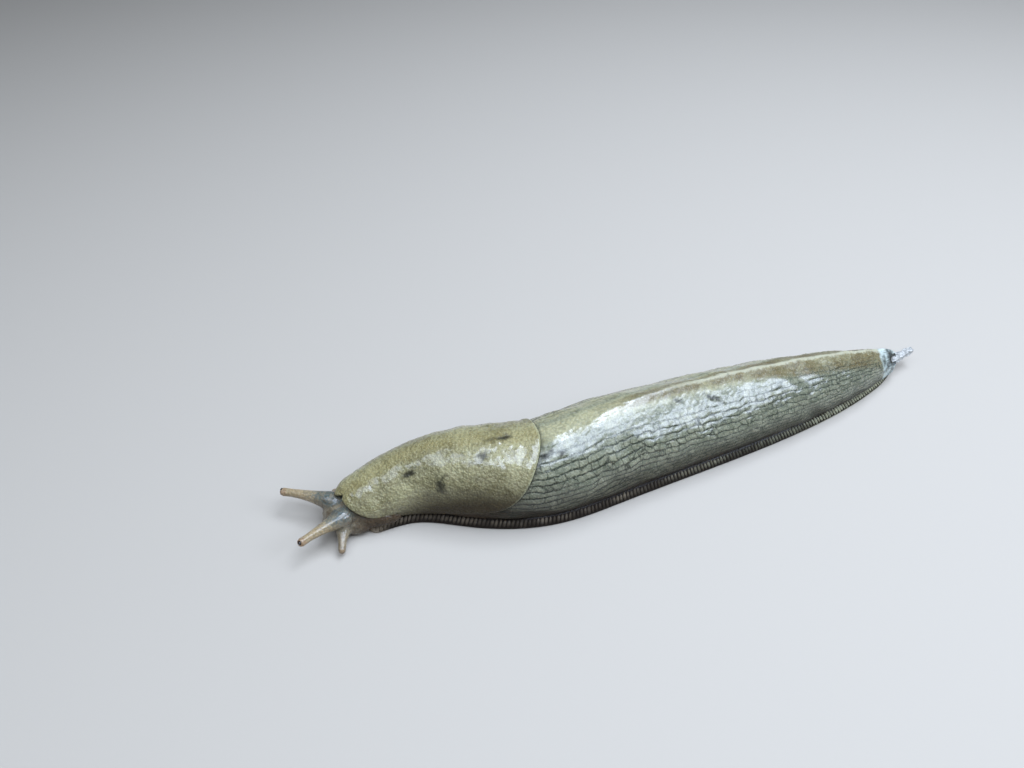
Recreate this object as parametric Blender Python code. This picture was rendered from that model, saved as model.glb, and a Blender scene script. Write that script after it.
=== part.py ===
"""Banana slug, life size and crawling: the solids of its body, in metres.

The head looks towards -X, +Z is up, and z = 0 is the ground under the sole. Every piece is placed from
one spine, a line along the ground under the middle of the back, which bends a little sideways as the
animal turns.
"""
import math

import bmesh
import bpy
import numpy as np
from mathutils import Matrix, Vector

MM = 0.001
GAP = 0.3 * MM  # clear space between neighbouring pieces

# Driving sizes of the whole animal
BODY_LENGTH = 145.0 * MM  # front edge of the mantle to the end of the tail
HALF_WIDTH = 11.3 * MM  # at the rear of the mantle, where the body is widest
BACK_HEIGHT = 19.4 * MM  # at the highest point of the back, behind the mantle

# The trunk at shares of BODY_LENGTH from the front: sideways bend in mm (+ is the animal's right),
# half width as a share of HALF_WIDTH, and height as a share of BACK_HEIGHT
STATIONS = (
    (0.00, 0.9, 0.50, 0.45),
    (0.05, 2.3, 0.59, 0.58),
    (0.12, 2.6, 0.68, 0.78),
    (0.20, -0.4, 0.87, 0.915),
    (0.30, -4.3, 0.975, 0.925),
    (0.40, -3.9, 0.98, 0.99),
    (0.55, -2.1, 0.97, 0.97),
    (0.70, -1.0, 0.88, 0.87),
    (0.82, 0.0, 0.73, 0.735),
    (0.91, 1.1, 0.54, 0.58),
    (0.965, 1.8, 0.38, 0.46),
    (1.00, 2.0, 0.28, 0.40),
)

# Section of the trunk, measured round the girth from the middle of the back
GIRTH_ANGLE = 118.0  # degrees from the middle of the back down to the groove over the foot
WIDEST_SHARE = 0.40  # height of the widest level, as a share of the back's height
TUCK = 0.13  # how far the flank draws in again above the foot, as a share of the half width
ARCH_FROM, ARCH_TO, ARCH = 0.36, 0.56, 0.45  # where the rounded back turns into a roof, and how much
KEEL_HEIGHT, KEEL_HALF_WIDTH = 0.45 * MM, 1.1 * MM
KEEL_FROM, KEEL_TO = 0.40, 0.52
TAIL_ROUND = 3.4 * MM  # length over which the end of the tail rounds off
TAIL_CENTRE = 4.6 * MM  # height that the tail's end closes towards

# Lengthwise cuts of the trunk, as shares of BODY_LENGTH
NECK_FRONT, NECK_REAR, MANTLE_REAR_CUT = 0.035, 0.155, 0.33
MIDDLE_REAR, TAIL_FRONT, TIP_FRONT = 0.56, 0.78, 0.962

# Lengthwise furrows of the flanks
FURROW_PITCH = 3.1 * MM
FURROW_HALF_WIDTH = 0.45 * MM
FURROW_DEPTH = 0.32 * MM
FURROW_FROM, FURROW_TO = 0.30, 0.90  # full depth between these shares of the length

# The mantle, a shield over the front of the back: the shares of the length where its front and rear edges
# cross the middle of the back, and how much further back or forward they lie at its sides
MANTLE_FRONT, MANTLE_FRONT_SLANT = 0.006, 0.045
MANTLE_REAR, MANTLE_REAR_SLANT_LEFT, MANTLE_REAR_SLANT_RIGHT = 0.302, -0.042, -0.012
MANTLE_SIDE_FRONT, MANTLE_SIDE_REAR = 0.92, 0.84  # how far down the girth it reaches at each end
MANTLE_CORNER = 5.0  # 2 is an ellipse, and more is squarer
MANTLE_THICKNESS, MANTLE_RIM = 1.1 * MM, 0.45 * MM
RIM_ROUND_FROM = 0.85  # where the mantle starts to thin out towards its rim
COVER_EDGE, COVER_FADE = 1.12, 0.27  # the back sinks from just outside the mantle's rim, over this width
COVER_OPEN_FRONT = 0.15  # before this share of the length it stays sunk up to the mantle's front edge
BREATHING_HOLE_SHARE, BREATHING_HOLE_GIRTH = 0.205, 0.50
BREATHING_HOLE = (1.6 * MM, 1.0 * MM, 0.8 * MM)  # half length, half height, depth

# The foot
FOOT_FRONT, FOOT_REAR = -68.8 * MM, 73.0 * MM
FOOT_SHARE = 0.985  # its half width beside the trunk's
FOOT_LEAN = 0.3 * MM  # how far its front end lies to the left of the spine, as it follows the head
FOOT_HEIGHT = 2.1 * MM
FRONT_ROUND, REAR_ROUND = 2.6 * MM, 9.0 * MM
FRINGE_LEVELS = (  # height, how far inside the fringe's edge, and share of the ribs' depth
    (0.0, 0.45 * MM, 0.0),
    (0.5 * MM, 0.0, 1.0),
    (1.25 * MM, 0.35 * MM, 0.8),
    (FOOT_HEIGHT, 1.5 * MM, 0.0),
)
FRINGE_PITCH, FRINGE_DEPTH = 2.8 * MM, 0.2 * MM
RIB_POINTS = 4  # outlines of the foot to each rib
FOOT_CUTS = (-23.0 * MM, 24.0 * MM)

# The head, which turns a little to the right as it leaves the neck
HEAD_YAW = 10.0  # degrees
HEAD_TURNED = 4.0  # mm in front of the neck's cut where the turn is complete
HEAD_RINGS = (  # in front of the neck's cut, to the right, half width, bottom, widest level, top, all in mm
    (0.0, 1.72, 4.6, 2.45, 4.3, 8.3),
    (0.7, 1.58, 4.5, 2.40, 4.1, 7.9),
    (2.2, 1.25, 4.4, 1.20, 3.9, 7.4),
    (4.0, 0.91, 4.2, 0.90, 3.7, 6.9),
    (5.6, 1.09, 3.7, 1.05, 3.5, 6.4),
    (6.76, 1.39, 2.9, 1.40, 3.4, 5.8),
    (7.52, 1.68, 1.8, 2.00, 3.4, 5.0),
    (7.95, 1.86, 0.6, 2.80, 3.5, 4.2),
)
HEAD_SQUARENESS = 2.2  # of the lower half of its section
LIP_RADIUS = (1.5 * MM, 1.35 * MM, 1.25 * MM)
LIP_PLACES = ((7.0, -0.85, 2.35), (7.0, 1.55, 2.35))  # forward, to the right, up, in mm
LOBE_RADIUS = (1.35 * MM, 1.2 * MM, 1.1 * MM)  # of the soft lobes behind the feelers
LOBE_PLACES = ((2.4, -3.6, 1.5), (3.6, 3.6, 1.5))
MOUTH_SLIT = (1.3 * MM, 0.22 * MM, 0.95 * MM)  # half depth, half width, half height
MOUTH_PLACE = (8.4, 0.35, 2.1)  # forward, to the right, up, in mm

# Tentacles, in the frame of the turned head: root and tip as (forward, right, up) and the bow of the axis
# in mm, and the share of the length that belongs to the head as the tentacle's boss
EYE_STALKS = {
    "left": {"root": (2.7, -2.0, 4.9), "tip": (12.6, -7.9, 5.2), "bow": 0.5, "boss": 0.31},
    "right": {"root": (4.2, 1.4, 5.0), "tip": (16.9, 6.9, 5.2), "bow": 0.6, "boss": 0.26},
}
EYE_STALK_RADII = (  # share of the length, and radius in mm
    (0.0, 1.3),
    (0.18, 1.85),
    (0.32, 1.5),
    (0.5, 1.2),
    (0.75, 0.95),
    (0.88, 0.92),
    (0.94, 0.98),
)
FEELERS = {
    "left": {"root": (3.8, -2.6, 3.1), "tip": (4.5, -8.9, 1.5), "bow": 0.2, "boss": 0.42},
    "right": {"root": (4.4, 2.9, 3.1), "tip": (6.0, 8.4, 1.5), "bow": 0.2, "boss": 0.42},
}
FEELER_RADII = ((0.0, 1.3), (0.25, 1.3), (0.45, 1.02), (0.75, 0.84), (0.9, 0.82))
EYE_RADIUS = 0.42 * MM
EYE_GAP = 0.2 * MM
EYE_PROUD = 0.08 * MM  # how far the eye's front stands out of the bulb

# The end of the tail
PIT_RADIUS, PIT_DEPTH = 1.55 * MM, 1.9 * MM
PIT_HEIGHT = 3.9 * MM
PLUG_TURN, PLUG_RISE = 8.0, 4.0  # degrees to the right of the tail's end and upwards
PLUG_ROOT = 1.3 * MM  # how deep in the pit it starts
PLUG_RADII = (  # distance along the plug, and radius, in mm
    (0.0, 0.35),
    (0.4, 0.75),
    (1.0, 1.08),
    (1.9, 1.2),
    (2.9, 1.1),
    (4.2, 0.72),
    (6.4, 0.42),
    (9.2, 0.25),
)

RING_POINTS = 16  # round a tentacle
COLOURS = {
    "trunk": (0.215, 0.212, 0.125),
    "mantle": (0.240, 0.218, 0.110),
    "foot": (0.235, 0.205, 0.145),
    "head": (0.300, 0.275, 0.220),
    "tentacle": (0.480, 0.400, 0.290),
    "eye": (0.010, 0.009, 0.009),
    "tip": (0.420, 0.500, 0.540),
    "mucus": (0.560, 0.620, 0.660),
}


def smooth_line(knots, values):
    """A natural cubic spline through the values at the knots, as a function of one number."""
    x, y = np.asarray(knots, float), np.asarray(values, float)
    step = np.diff(x)
    system, right = np.eye(len(x)), np.zeros(len(x))
    for i in range(1, len(x) - 1):
        system[i, i - 1 : i + 2] = step[i - 1], 2 * (step[i - 1] + step[i]), step[i]
        right[i] = 6 * ((y[i + 1] - y[i]) / step[i] - (y[i] - y[i - 1]) / step[i - 1])
    bend = np.linalg.solve(system, right)

    def value(at):
        i = min(max(int(np.searchsorted(x, at)) - 1, 0), len(step) - 1)
        a, b = (x[i + 1] - at) / step[i], (at - x[i]) / step[i]
        cubic = ((a**3 - a) * bend[i] + (b**3 - b) * bend[i + 1]) * step[i] ** 2 / 6
        return float(a * y[i] + b * y[i + 1] + cubic)

    return value


SHARES = [station[0] for station in STATIONS]
spine_offset = smooth_line(SHARES, [station[1] * MM for station in STATIONS])
half_width = smooth_line(SHARES, [station[2] * HALF_WIDTH for station in STATIONS])
back_height = smooth_line(SHARES, [station[3] * BACK_HEIGHT for station in STATIONS])


def ramp(value, start, end):
    """0 before start, 1 after end, and smooth in between."""
    q = min(max((value - start) / (end - start), 0.0), 1.0)
    return q * q * (3 - 2 * q)


def spine(share):
    """The spine's point on the ground at a share of the length, and the direction to the animal's right."""
    small = 0.002
    slope = (spine_offset(share + small) - spine_offset(share - small)) / (2 * small * BODY_LENGTH)
    point = Vector(((share - 0.5) * BODY_LENGTH, spine_offset(share), 0.0))
    return point, Vector((-slope, 1.0, 0.0)).normalized()


def section(share, girth):
    """Sideways and up places on the body's outer surface, without room for the mantle and the furrows.

    girth is 0 at the middle of the back, -1 at the groove over the foot on the left, and 1 on the right.
    """
    width, height = half_width(share), back_height(share)
    widest = WIDEST_SHARE * height
    floor = FOOT_HEIGHT + GAP
    angle = abs(girth) * GIRTH_ANGLE
    arch = ARCH * ramp(share, ARCH_FROM, ARCH_TO)
    if angle <= 90.0:
        sine, cosine = math.sin(math.radians(angle)), math.cos(math.radians(angle))
        sideways = width * sine
        up = widest + (height - widest) * ((1 - arch) * cosine + arch * (1 - sine**1.25))
    else:
        low = (angle - 90.0) / (GIRTH_ANGLE - 90.0)
        sideways = width * (1 - TUCK * low * low)
        up = widest - (widest - floor) * low
    keel = KEEL_HEIGHT * ramp(share, KEEL_FROM, KEEL_TO)
    up += keel * math.exp(-((sideways / KEEL_HALF_WIDTH) ** 2))
    end = (share - 1.0) * BODY_LENGTH + TAIL_ROUND
    if end > 0.0:
        shrink = math.sqrt(max(1 - (end / TAIL_ROUND) ** 2, 0.0025))
        sideways *= shrink
        up = TAIL_CENTRE + (up - TAIL_CENTRE) * shrink
    return math.copysign(sideways, girth), up


def outer_point(share, girth, lift=0.0):
    """A point of the outer surface, moved outwards by lift."""

    def at(some_share, some_girth):
        ground, right = spine(some_share)
        sideways, up = section(some_share, some_girth)
        return ground + right * sideways + Vector((0.0, 0.0, up))

    point = at(share, girth)
    if lift == 0.0:
        return point
    small = 0.004
    along = at(share + small, girth) - at(share - small, girth)
    around = at(share, girth + small) - at(share, girth - small)
    return point + along.cross(around).normalized() * lift


def mantle_edges(across):
    """Shares of the length at the mantle's front and rear, from -1 at its left side to 1 at its right."""
    slant = MANTLE_REAR_SLANT_LEFT if across < 0 else MANTLE_REAR_SLANT_RIGHT
    return MANTLE_FRONT + MANTLE_FRONT_SLANT * across**2, MANTLE_REAR + slant * abs(across)


def mantle_side(share):
    """How far down the girth the mantle reaches at a share of the length."""
    return MANTLE_SIDE_FRONT + (MANTLE_SIDE_REAR - MANTLE_SIDE_FRONT) * ramp(share, 0.12, 0.24)


def mantle_reach(share, girth):
    """0 at the mantle's middle and 1 on its rim, growing beyond it."""
    across = girth / mantle_side(share)
    front, rear = mantle_edges(across)
    along = abs(2 * (share - front) / (rear - front) - 1)
    return (along**MANTLE_CORNER + abs(across) ** MANTLE_CORNER) ** (1 / MANTLE_CORNER)


def sink(share, girth):
    """How far the back lies under the outer surface, to make room for the mantle."""
    across = abs(girth) / mantle_side(share)
    reach = across if share < COVER_OPEN_FRONT else mantle_reach(share, girth)
    return (MANTLE_THICKNESS + GAP) * ramp(reach, COVER_EDGE, COVER_EDGE - COVER_FADE)


def furrow(share, girth):
    """Depth of the lengthwise furrows at this place."""
    strength = ramp(share, FURROW_FROM, FURROW_FROM + 0.05) * ramp(share, FURROW_TO + 0.06, FURROW_TO)
    count = FURROWS_A_SIDE
    place = abs(girth) * count
    nearest = abs(place - round(place)) / count * GIRTH_LENGTH
    if round(place) == 0 or round(place) == count:
        return 0.0
    return FURROW_DEPTH * strength * max(0.0, 1 - nearest / FURROW_HALF_WIDTH)


def girth_length(share, points=60):
    """Length of the surface from the middle of the back to the groove over the foot."""
    line = [Vector(section(share, i / points)) for i in range(points + 1)]
    return sum((b - a).length for a, b in zip(line, line[1:]))


GIRTH_LENGTH = girth_length(0.45)
FURROWS_A_SIDE = round(GIRTH_LENGTH / FURROW_PITCH)


def girth_steps():
    """Places round the girth, from the left groove to the right one, with points on each furrow's edges."""
    edge = FURROW_HALF_WIDTH / GIRTH_LENGTH
    side = {0.0, 1.0}
    for i in range(1, FURROWS_A_SIDE):
        side |= {i / FURROWS_A_SIDE + shift for shift in (-edge, 0.0, edge)}
    side |= {0.5 / FURROWS_A_SIDE, 0.18 / FURROWS_A_SIDE}
    right = sorted(side)
    return [-g for g in reversed(right[1:])] + right


def plain_steps(count):
    """Even places round the girth, from the left groove to the right one."""
    return [-1 + 2 * i / count for i in range(count + 1)]


def add_object(name, bm, colour, roughness=0.35):
    """Puts the mesh into the scene as one named object with its own material."""
    bmesh.ops.recalc_face_normals(bm, faces=bm.faces)
    mesh = bpy.data.meshes.new(name)
    bm.to_mesh(mesh)
    bm.free()
    mesh.shade_smooth()
    mesh.set_sharp_from_angle(angle=math.radians(40))
    material = bpy.data.materials.new(name + "_material")
    material.use_nodes = True
    shader = material.node_tree.nodes["Principled BSDF"]
    shader.inputs["Base Color"].default_value = (*COLOURS[colour], 1.0)
    shader.inputs["Roughness"].default_value = roughness
    mesh.materials.append(material)
    obj = bpy.data.objects.new(name, mesh)
    bpy.context.scene.collection.objects.link(obj)
    return obj


def loft(rings, cap_start=True, cap_end=True):
    """A closed tube through rings of equally many points."""
    bm = bmesh.new()
    rows = [[bm.verts.new(p) for p in ring] for ring in rings]
    for a, b in zip(rows, rows[1:]):
        for i in range(len(a)):
            j = (i + 1) % len(a)
            bm.faces.new((a[i], a[j], b[j], b[i]))
    if cap_start:
        bm.faces.new(reversed(rows[0]))
    if cap_end:
        bm.faces.new(rows[-1])
    return bm


def trunk_ring(share, steps, furrowed):
    """The trunk's outline at one share of the length, from the left groove over the back to the right."""
    ring = []
    for girth in steps:
        depth = sink(share, girth) + (furrow(share, girth) if furrowed else 0.0)
        ring.append(outer_point(share, girth, -depth))
    return ring


def build_trunk():
    """Neck, trunk and tail: lengths of one body, parted by thin cuts."""
    lengths = (
        ("neck", NECK_FRONT, NECK_REAR, 9, False),
        ("trunk_front", NECK_REAR, MANTLE_REAR_CUT, 14, False),
        ("trunk_middle", MANTLE_REAR_CUT, MIDDLE_REAR, 12, True),
        ("trunk_rear", MIDDLE_REAR, TAIL_FRONT, 12, True),
        ("tail", TAIL_FRONT, TIP_FRONT, 12, True),
    )
    half_gap = GAP / 2 / BODY_LENGTH
    for name, start, end, count, furrowed in lengths:
        first, last = start + half_gap, end - half_gap
        steps = girth_steps() if furrowed else plain_steps(28)
        shares = [first + (last - first) * i / (count - 1) for i in range(count)]
        add_object(name, loft([trunk_ring(s, steps, furrowed) for s in shares]), "trunk")


def disc_place(radius, turn):
    """Share of the length and place round the girth of a point of the mantle, from polar coordinates."""
    c, s = math.cos(turn), math.sin(turn)
    stretch = (abs(c) ** MANTLE_CORNER + abs(s) ** MANTLE_CORNER) ** (-1 / MANTLE_CORNER)
    across = radius * stretch * s
    front, rear = mantle_edges(across)
    share = front + (rear - front) * (1 + radius * stretch * c) / 2
    return share, across * mantle_side(share)


def build_mantle():
    """The mantle, a thick shield with a free rim, mapped from a disc. Its breathing hole is on the right."""
    radii = (0.12, 0.28, 0.44, 0.58, 0.70, 0.80, 0.88, 0.94, 0.98, 1.0)
    turns = [2 * math.pi * i / 56 for i in range(56)]
    bm = bmesh.new()
    sheets = []
    for outside in (True, False):
        rows = []
        for radius in (0.0, *radii):
            row = []
            for turn in turns[: 1 if radius == 0.0 else None]:
                share, girth = disc_place(radius, turn)
                lift = GAP - sink(share, girth)
                if outside:
                    rim = math.sqrt(1 - ramp(radius, RIM_ROUND_FROM, 1.0) ** 2)
                    lift += MANTLE_RIM + (MANTLE_THICKNESS - MANTLE_RIM) * rim
                row.append(bm.verts.new(outer_point(share, girth, lift)))
            rows.append(row)
        sheets.append(rows)
        for i in range(len(turns)):
            j = (i + 1) % len(turns)
            bm.faces.new((rows[0][0], rows[1][i], rows[1][j]))
            for a, b in zip(rows[1:], rows[2:]):
                bm.faces.new((a[i], b[i], b[j], a[j]))
    top, bottom = sheets[0][-1], sheets[1][-1]
    for i in range(len(turns)):
        j = (i + 1) % len(turns)
        bm.faces.new((top[i], bottom[i], bottom[j], top[j]))
    mantle = add_object("mantle", bm, "mantle")
    hole = outer_point(BREATHING_HOLE_SHARE, BREATHING_HOLE_GIRTH)
    out = (outer_point(BREATHING_HOLE_SHARE, BREATHING_HOLE_GIRTH, MM) - hole).normalized()
    cutter = ellipsoid(BREATHING_HOLE, 20, 10)
    along = Vector((1.0, 0.0, 0.0))
    across = out.cross(along).normalized()
    axes = Matrix((across.cross(out), across, out)).transposed()
    bmesh.ops.transform(cutter, matrix=Matrix.Translation(hole) @ axes.to_4x4(), verts=cutter.verts)
    combine(mantle, [cutter], "DIFFERENCE")


def ellipsoid(radii, segments, rings):
    """A ball stretched to three half sizes."""
    bm = bmesh.new()
    bmesh.ops.create_uvsphere(bm, u_segments=segments, v_segments=rings, radius=1.0)
    bmesh.ops.scale(bm, vec=radii, verts=bm.verts)
    return bm


def combine(obj, shapes, operation):
    """Joins the shapes to the object, or cuts them from it, and applies the result."""
    collection = bpy.data.collections.new(obj.name + "_shapes")
    bpy.context.scene.collection.children.link(collection)
    for bm in shapes:
        bmesh.ops.recalc_face_normals(bm, faces=bm.faces)
        mesh = bpy.data.meshes.new("shape")
        bm.to_mesh(mesh)
        bm.free()
        collection.objects.link(bpy.data.objects.new("shape", mesh))
    modifier = obj.modifiers.new("combine", "BOOLEAN")
    modifier.operation = operation
    modifier.operand_type = "COLLECTION"
    modifier.collection = collection
    modifier.solver = "EXACT"
    graph = bpy.context.evaluated_depsgraph_get()
    result = bpy.data.meshes.new_from_object(obj.evaluated_get(graph))
    obj.modifiers.clear()
    obj.data = result
    result.shade_smooth()
    result.set_sharp_from_angle(angle=math.radians(40))
    for shape in list(collection.objects):
        bpy.data.objects.remove(shape)
    bpy.data.collections.remove(collection)


def foot_half_width(x):
    """The foot's half width at a place along the ground without its round ends, and the share they leave."""
    share = x / BODY_LENGTH + 0.5
    width = FOOT_SHARE * half_width(min(share, 0.985))
    rounding = 1.0
    for end in ((x - FOOT_FRONT) / FRONT_ROUND, (FOOT_REAR - x) / REAR_ROUND):
        if end < 1.0:
            rounding *= math.sqrt(max(0.0, 1 - (1 - end) ** 2.4))
    return width, rounding


def build_foot():
    """The sole and its fringe, a low boat shape with ribs along the edge, in three lengths."""
    length = FOOT_REAR - FOOT_FRONT
    count = round(length / FRINGE_PITCH) * RIB_POINTS
    rings = []
    for i in range(count + 1):
        x = FOOT_FRONT + length * i / count
        width, rounding = foot_half_width(x)
        share = x / BODY_LENGTH + 0.5
        ground, right = spine(share)
        centre = ground - right * FOOT_LEAN * ramp(share, 0.12, 0.02)
        wave = FRINGE_DEPTH * math.cos(2 * math.pi * i / RIB_POINTS)
        ring = []
        for level, inset, ribbed in FRINGE_LEVELS:
            reach = right * (width - inset + wave * ribbed) * rounding
            drawn_in = Vector(((0.5 - i / count) * 2 * inset, 0.0, level))
            ring = [centre + drawn_in - reach, *ring, centre + drawn_in + reach]
        rings.append(ring)
    bm = loft(rings)
    bmesh.ops.remove_doubles(bm, verts=bm.verts, dist=0.01 * MM)
    bounds = (FOOT_FRONT - MM, *FOOT_CUTS, FOOT_REAR + MM)
    for name, start, end in zip(("foot_front", "foot_middle", "foot_rear"), bounds, bounds[1:]):
        piece = bm.copy()
        for x, side in ((start + GAP / 2, -1.0), (end - GAP / 2, 1.0)):
            cut = bmesh.ops.bisect_plane(
                piece,
                geom=[*piece.verts, *piece.edges, *piece.faces],
                plane_co=(x, 0.0, 0.0),
                plane_no=(side, 0.0, 0.0),
                clear_outer=True,
            )
            edges = [e for e in cut["geom_cut"] if isinstance(e, bmesh.types.BMEdge)]
            if edges:
                bmesh.ops.edgenet_fill(piece, edges=edges)
        add_object(name, piece, "foot", 0.4)
    bm.free()


def head_frame(yaw=HEAD_YAW, forward=0.0, right=0.0):
    """Axes that run forward, to the animal's right and up, from a place in mm in front of the neck's cut."""
    angle = math.radians(yaw)
    ahead = Vector((-math.cos(angle), math.sin(angle), 0.0))
    across = Vector((math.sin(angle), math.cos(angle), 0.0))
    origin = Vector(((NECK_FRONT - 0.5) * BODY_LENGTH - GAP / 2 - forward * MM, right * MM, 0.0))
    return Matrix.Translation(origin) @ Matrix((ahead, across, (0.0, 0.0, 1.0))).transposed().to_4x4()


HEAD = head_frame()


def head_point(place):
    """A place given as forward, sideways and up in mm, in the frame of the head."""
    return HEAD @ (Vector(place) * MM)


def head_ring(forward, right, width, bottom, widest, top, points=32):
    """One outline of the head, round above and squarer below, that stands across its axis."""
    _, across = spine(NECK_FRONT)
    neck_yaw = math.degrees(math.asin(across.x))
    yaw = neck_yaw + (HEAD_YAW - neck_yaw) * ramp(forward, 0.0, HEAD_TURNED)
    place = head_frame(yaw, forward, right)
    ring = []
    for i in range(points):
        turn = 2 * math.pi * i / points
        c, s = math.cos(turn), math.sin(turn)
        power = 2.0 if s > 0 else HEAD_SQUARENESS
        fit = (abs(c) ** power + abs(s) ** power) ** (-1 / power)
        height = top - widest if s > 0 else widest - bottom
        ring.append(place @ (Vector((0.0, width * c * fit, widest + height * s * fit)) * MM))
    return ring


def tentacle_rings(shape, radii, start, end, count, tip_round=True):
    """Rings along a tentacle between two shares of its length, with a bowed axis and a round tip."""
    root, tip = head_point(shape["root"]), head_point(shape["tip"])
    length = (tip - root).length
    rise = Vector((0.0, 0.0, shape["bow"] * MM))
    radius_at = smooth_line([r[0] for r in radii], [r[1] * MM for r in radii])

    def axis(q):
        return root.lerp(tip, q) + rise * (4 * q * (1 - q))

    def radius(q):
        if not tip_round or q <= radii[-1][0]:
            return radius_at(q)
        beyond = (q - radii[-1][0]) * length
        largest = radii[-1][1] * MM
        return math.sqrt(max(0.0, largest**2 - beyond**2))

    stop = end
    if tip_round and end >= 1.0:
        stop = radii[-1][0] + 0.985 * radii[-1][1] * MM / length
    rings = []
    for i in range(count):
        q = i / (count - 1)
        q = start + (stop - start) * (math.sin(math.pi / 2 * q) if end >= 1.0 else q)
        along = (axis(q + 0.01) - axis(q - 0.01)).normalized()
        side = along.cross(Vector((0.0, 0.0, 1.0))).normalized()
        up = side.cross(along)
        turns = [2 * math.pi * k / RING_POINTS for k in range(RING_POINTS)]
        rings.append([axis(q) + (side * math.cos(a) + up * math.sin(a)) * radius(q) for a in turns])
    return rings, axis(stop), (axis(stop) - axis(stop - 0.02)).normalized()


def build_head_and_tentacles():
    """The head with lips, mouth and tentacle bosses, then the four tentacles and the two eyes."""
    head = add_object("head", loft([head_ring(*ring) for ring in HEAD_RINGS]), "head", 0.3)
    shapes = []
    for radii, places in ((LIP_RADIUS, LIP_PLACES), (LOBE_RADIUS, LOBE_PLACES)):
        for place in places:
            soft = ellipsoid(radii, 16, 10)
            bmesh.ops.transform(soft, matrix=HEAD @ Matrix.Translation(Vector(place) * MM), verts=soft.verts)
            shapes.append(soft)
    for name, group, radii in (
        ("eye_stalk", EYE_STALKS, EYE_STALK_RADII),
        ("feeler", FEELERS, FEELER_RADII),
    ):
        for side, shape in group.items():
            boss = shape["boss"]
            length = (Vector(shape["tip"]) - Vector(shape["root"])).length * MM
            rings, _, _ = tentacle_rings(shape, radii, 0.0, boss, 5, tip_round=False)
            shapes.append(loft(rings))
            rings, end, along = tentacle_rings(shape, radii, boss + GAP / length, 1.0, 14)
            tentacle = add_object(f"{name}_{side}", loft(rings), "tentacle", 0.3)
            if name == "eye_stalk":
                add_eye(side, tentacle, end, along, radii[-1][1] * MM)
    combine(head, shapes, "UNION")
    slit = ellipsoid(MOUTH_SLIT, 16, 10)
    bmesh.ops.transform(slit, matrix=HEAD @ Matrix.Translation(Vector(MOUTH_PLACE) * MM), verts=slit.verts)
    combine(head, [slit], "DIFFERENCE")


def add_eye(side, stalk, tip, along, bulb_radius):
    """A small dark eye in a socket at the end of its stalk, looking forward, up and outwards."""
    outwards = HEAD.to_3x3() @ Vector((0.0, -1.0 if side == "left" else 1.0, 0.0))
    look = (along + Vector((0.0, 0.0, 0.9)) + outwards * 0.5).normalized()
    centre = tip - along * bulb_radius + look * (bulb_radius + EYE_PROUD - EYE_RADIUS)
    place = Matrix.Translation(centre)
    socket = ellipsoid([EYE_RADIUS + EYE_GAP] * 3, 16, 12)
    bmesh.ops.transform(socket, matrix=place, verts=socket.verts)
    combine(stalk, [socket], "DIFFERENCE")
    eye = ellipsoid([EYE_RADIUS] * 3, 12, 8)
    bmesh.ops.transform(eye, matrix=place, verts=eye.verts)
    add_object(f"eye_{side}", eye, "eye", 0.05)


def build_tail_tip():
    """The pale end of the tail, with its mucus pit and the plug of mucus that sits in it."""
    first = TIP_FRONT + GAP / 2 / BODY_LENGTH
    shares = [first + (0.9995 - first) * math.sin(math.pi / 2 * i / 9) for i in range(10)]
    tip = add_object("tail_tip", loft([trunk_ring(s, plain_steps(28), False) for s in shares]), "tip", 0.25)
    ground, right = spine(1.0)
    forward = Vector((right.y, -right.x, 0.0))
    mouth = ground + Vector((0.0, 0.0, PIT_HEIGHT))
    axes = Matrix((forward, right, (0.0, 0.0, 1.0))).transposed().to_4x4()
    place = Matrix.Translation(mouth) @ axes
    pit = ellipsoid((PIT_DEPTH, PIT_RADIUS * 0.75, PIT_RADIUS), 20, 12)
    bmesh.ops.transform(pit, matrix=place, verts=pit.verts)
    combine(tip, [pit], "DIFFERENCE")
    turn = Matrix.Rotation(math.radians(PLUG_TURN), 4, "Z")
    rise = Matrix.Rotation(math.radians(-PLUG_RISE), 4, "Y")
    mouth_place = Matrix.Translation(mouth) @ turn @ rise @ axes
    back = Vector((PLUG_ROOT, 0.0, 0.0))
    rings = []
    for x, radius in PLUG_RADII:
        turns = [2 * math.pi * k / RING_POINTS for k in range(RING_POINTS)]
        ring = [Vector((x * MM, 0.72 * radius * MM * math.cos(a), radius * MM * math.sin(a))) for a in turns]
        rings.append([mouth_place @ (point - back) for point in ring])
    add_object("mucus_plug", loft(rings), "mucus", 0.1)


def main():
    """Clears the scene and builds every piece."""
    for obj in list(bpy.data.objects):
        bpy.data.objects.remove(obj)
    build_trunk()
    build_mantle()
    build_foot()
    build_head_and_tentacles()
    build_tail_tip()


main()
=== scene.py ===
"""Looks of the life-size banana slug: one wet skin over the whole body, its eyes and its mucus plug.

All sizes are in millimetres and turned to metres where a mesh is made. The head looks towards -X, +Y is
the animal's right and z = 0 is the ground. Places on the body are given as a share of its length, 0 at the
mantle's front edge and 1 at the tail's end, and a girth, 0 at the middle of the back, -1 at the groove over
the foot on the left and 1 on the right.
"""
from __future__ import annotations

import logging
import math
from dataclasses import dataclass, field
from enum import Enum
from functools import cached_property
from typing import Callable, Sequence

import bmesh
import bpy
import numpy as np
from bmesh.types import BMesh
from bpy.types import Material, Mesh, Node, NodeSocket, Object
from mathutils import Matrix, Vector

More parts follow.
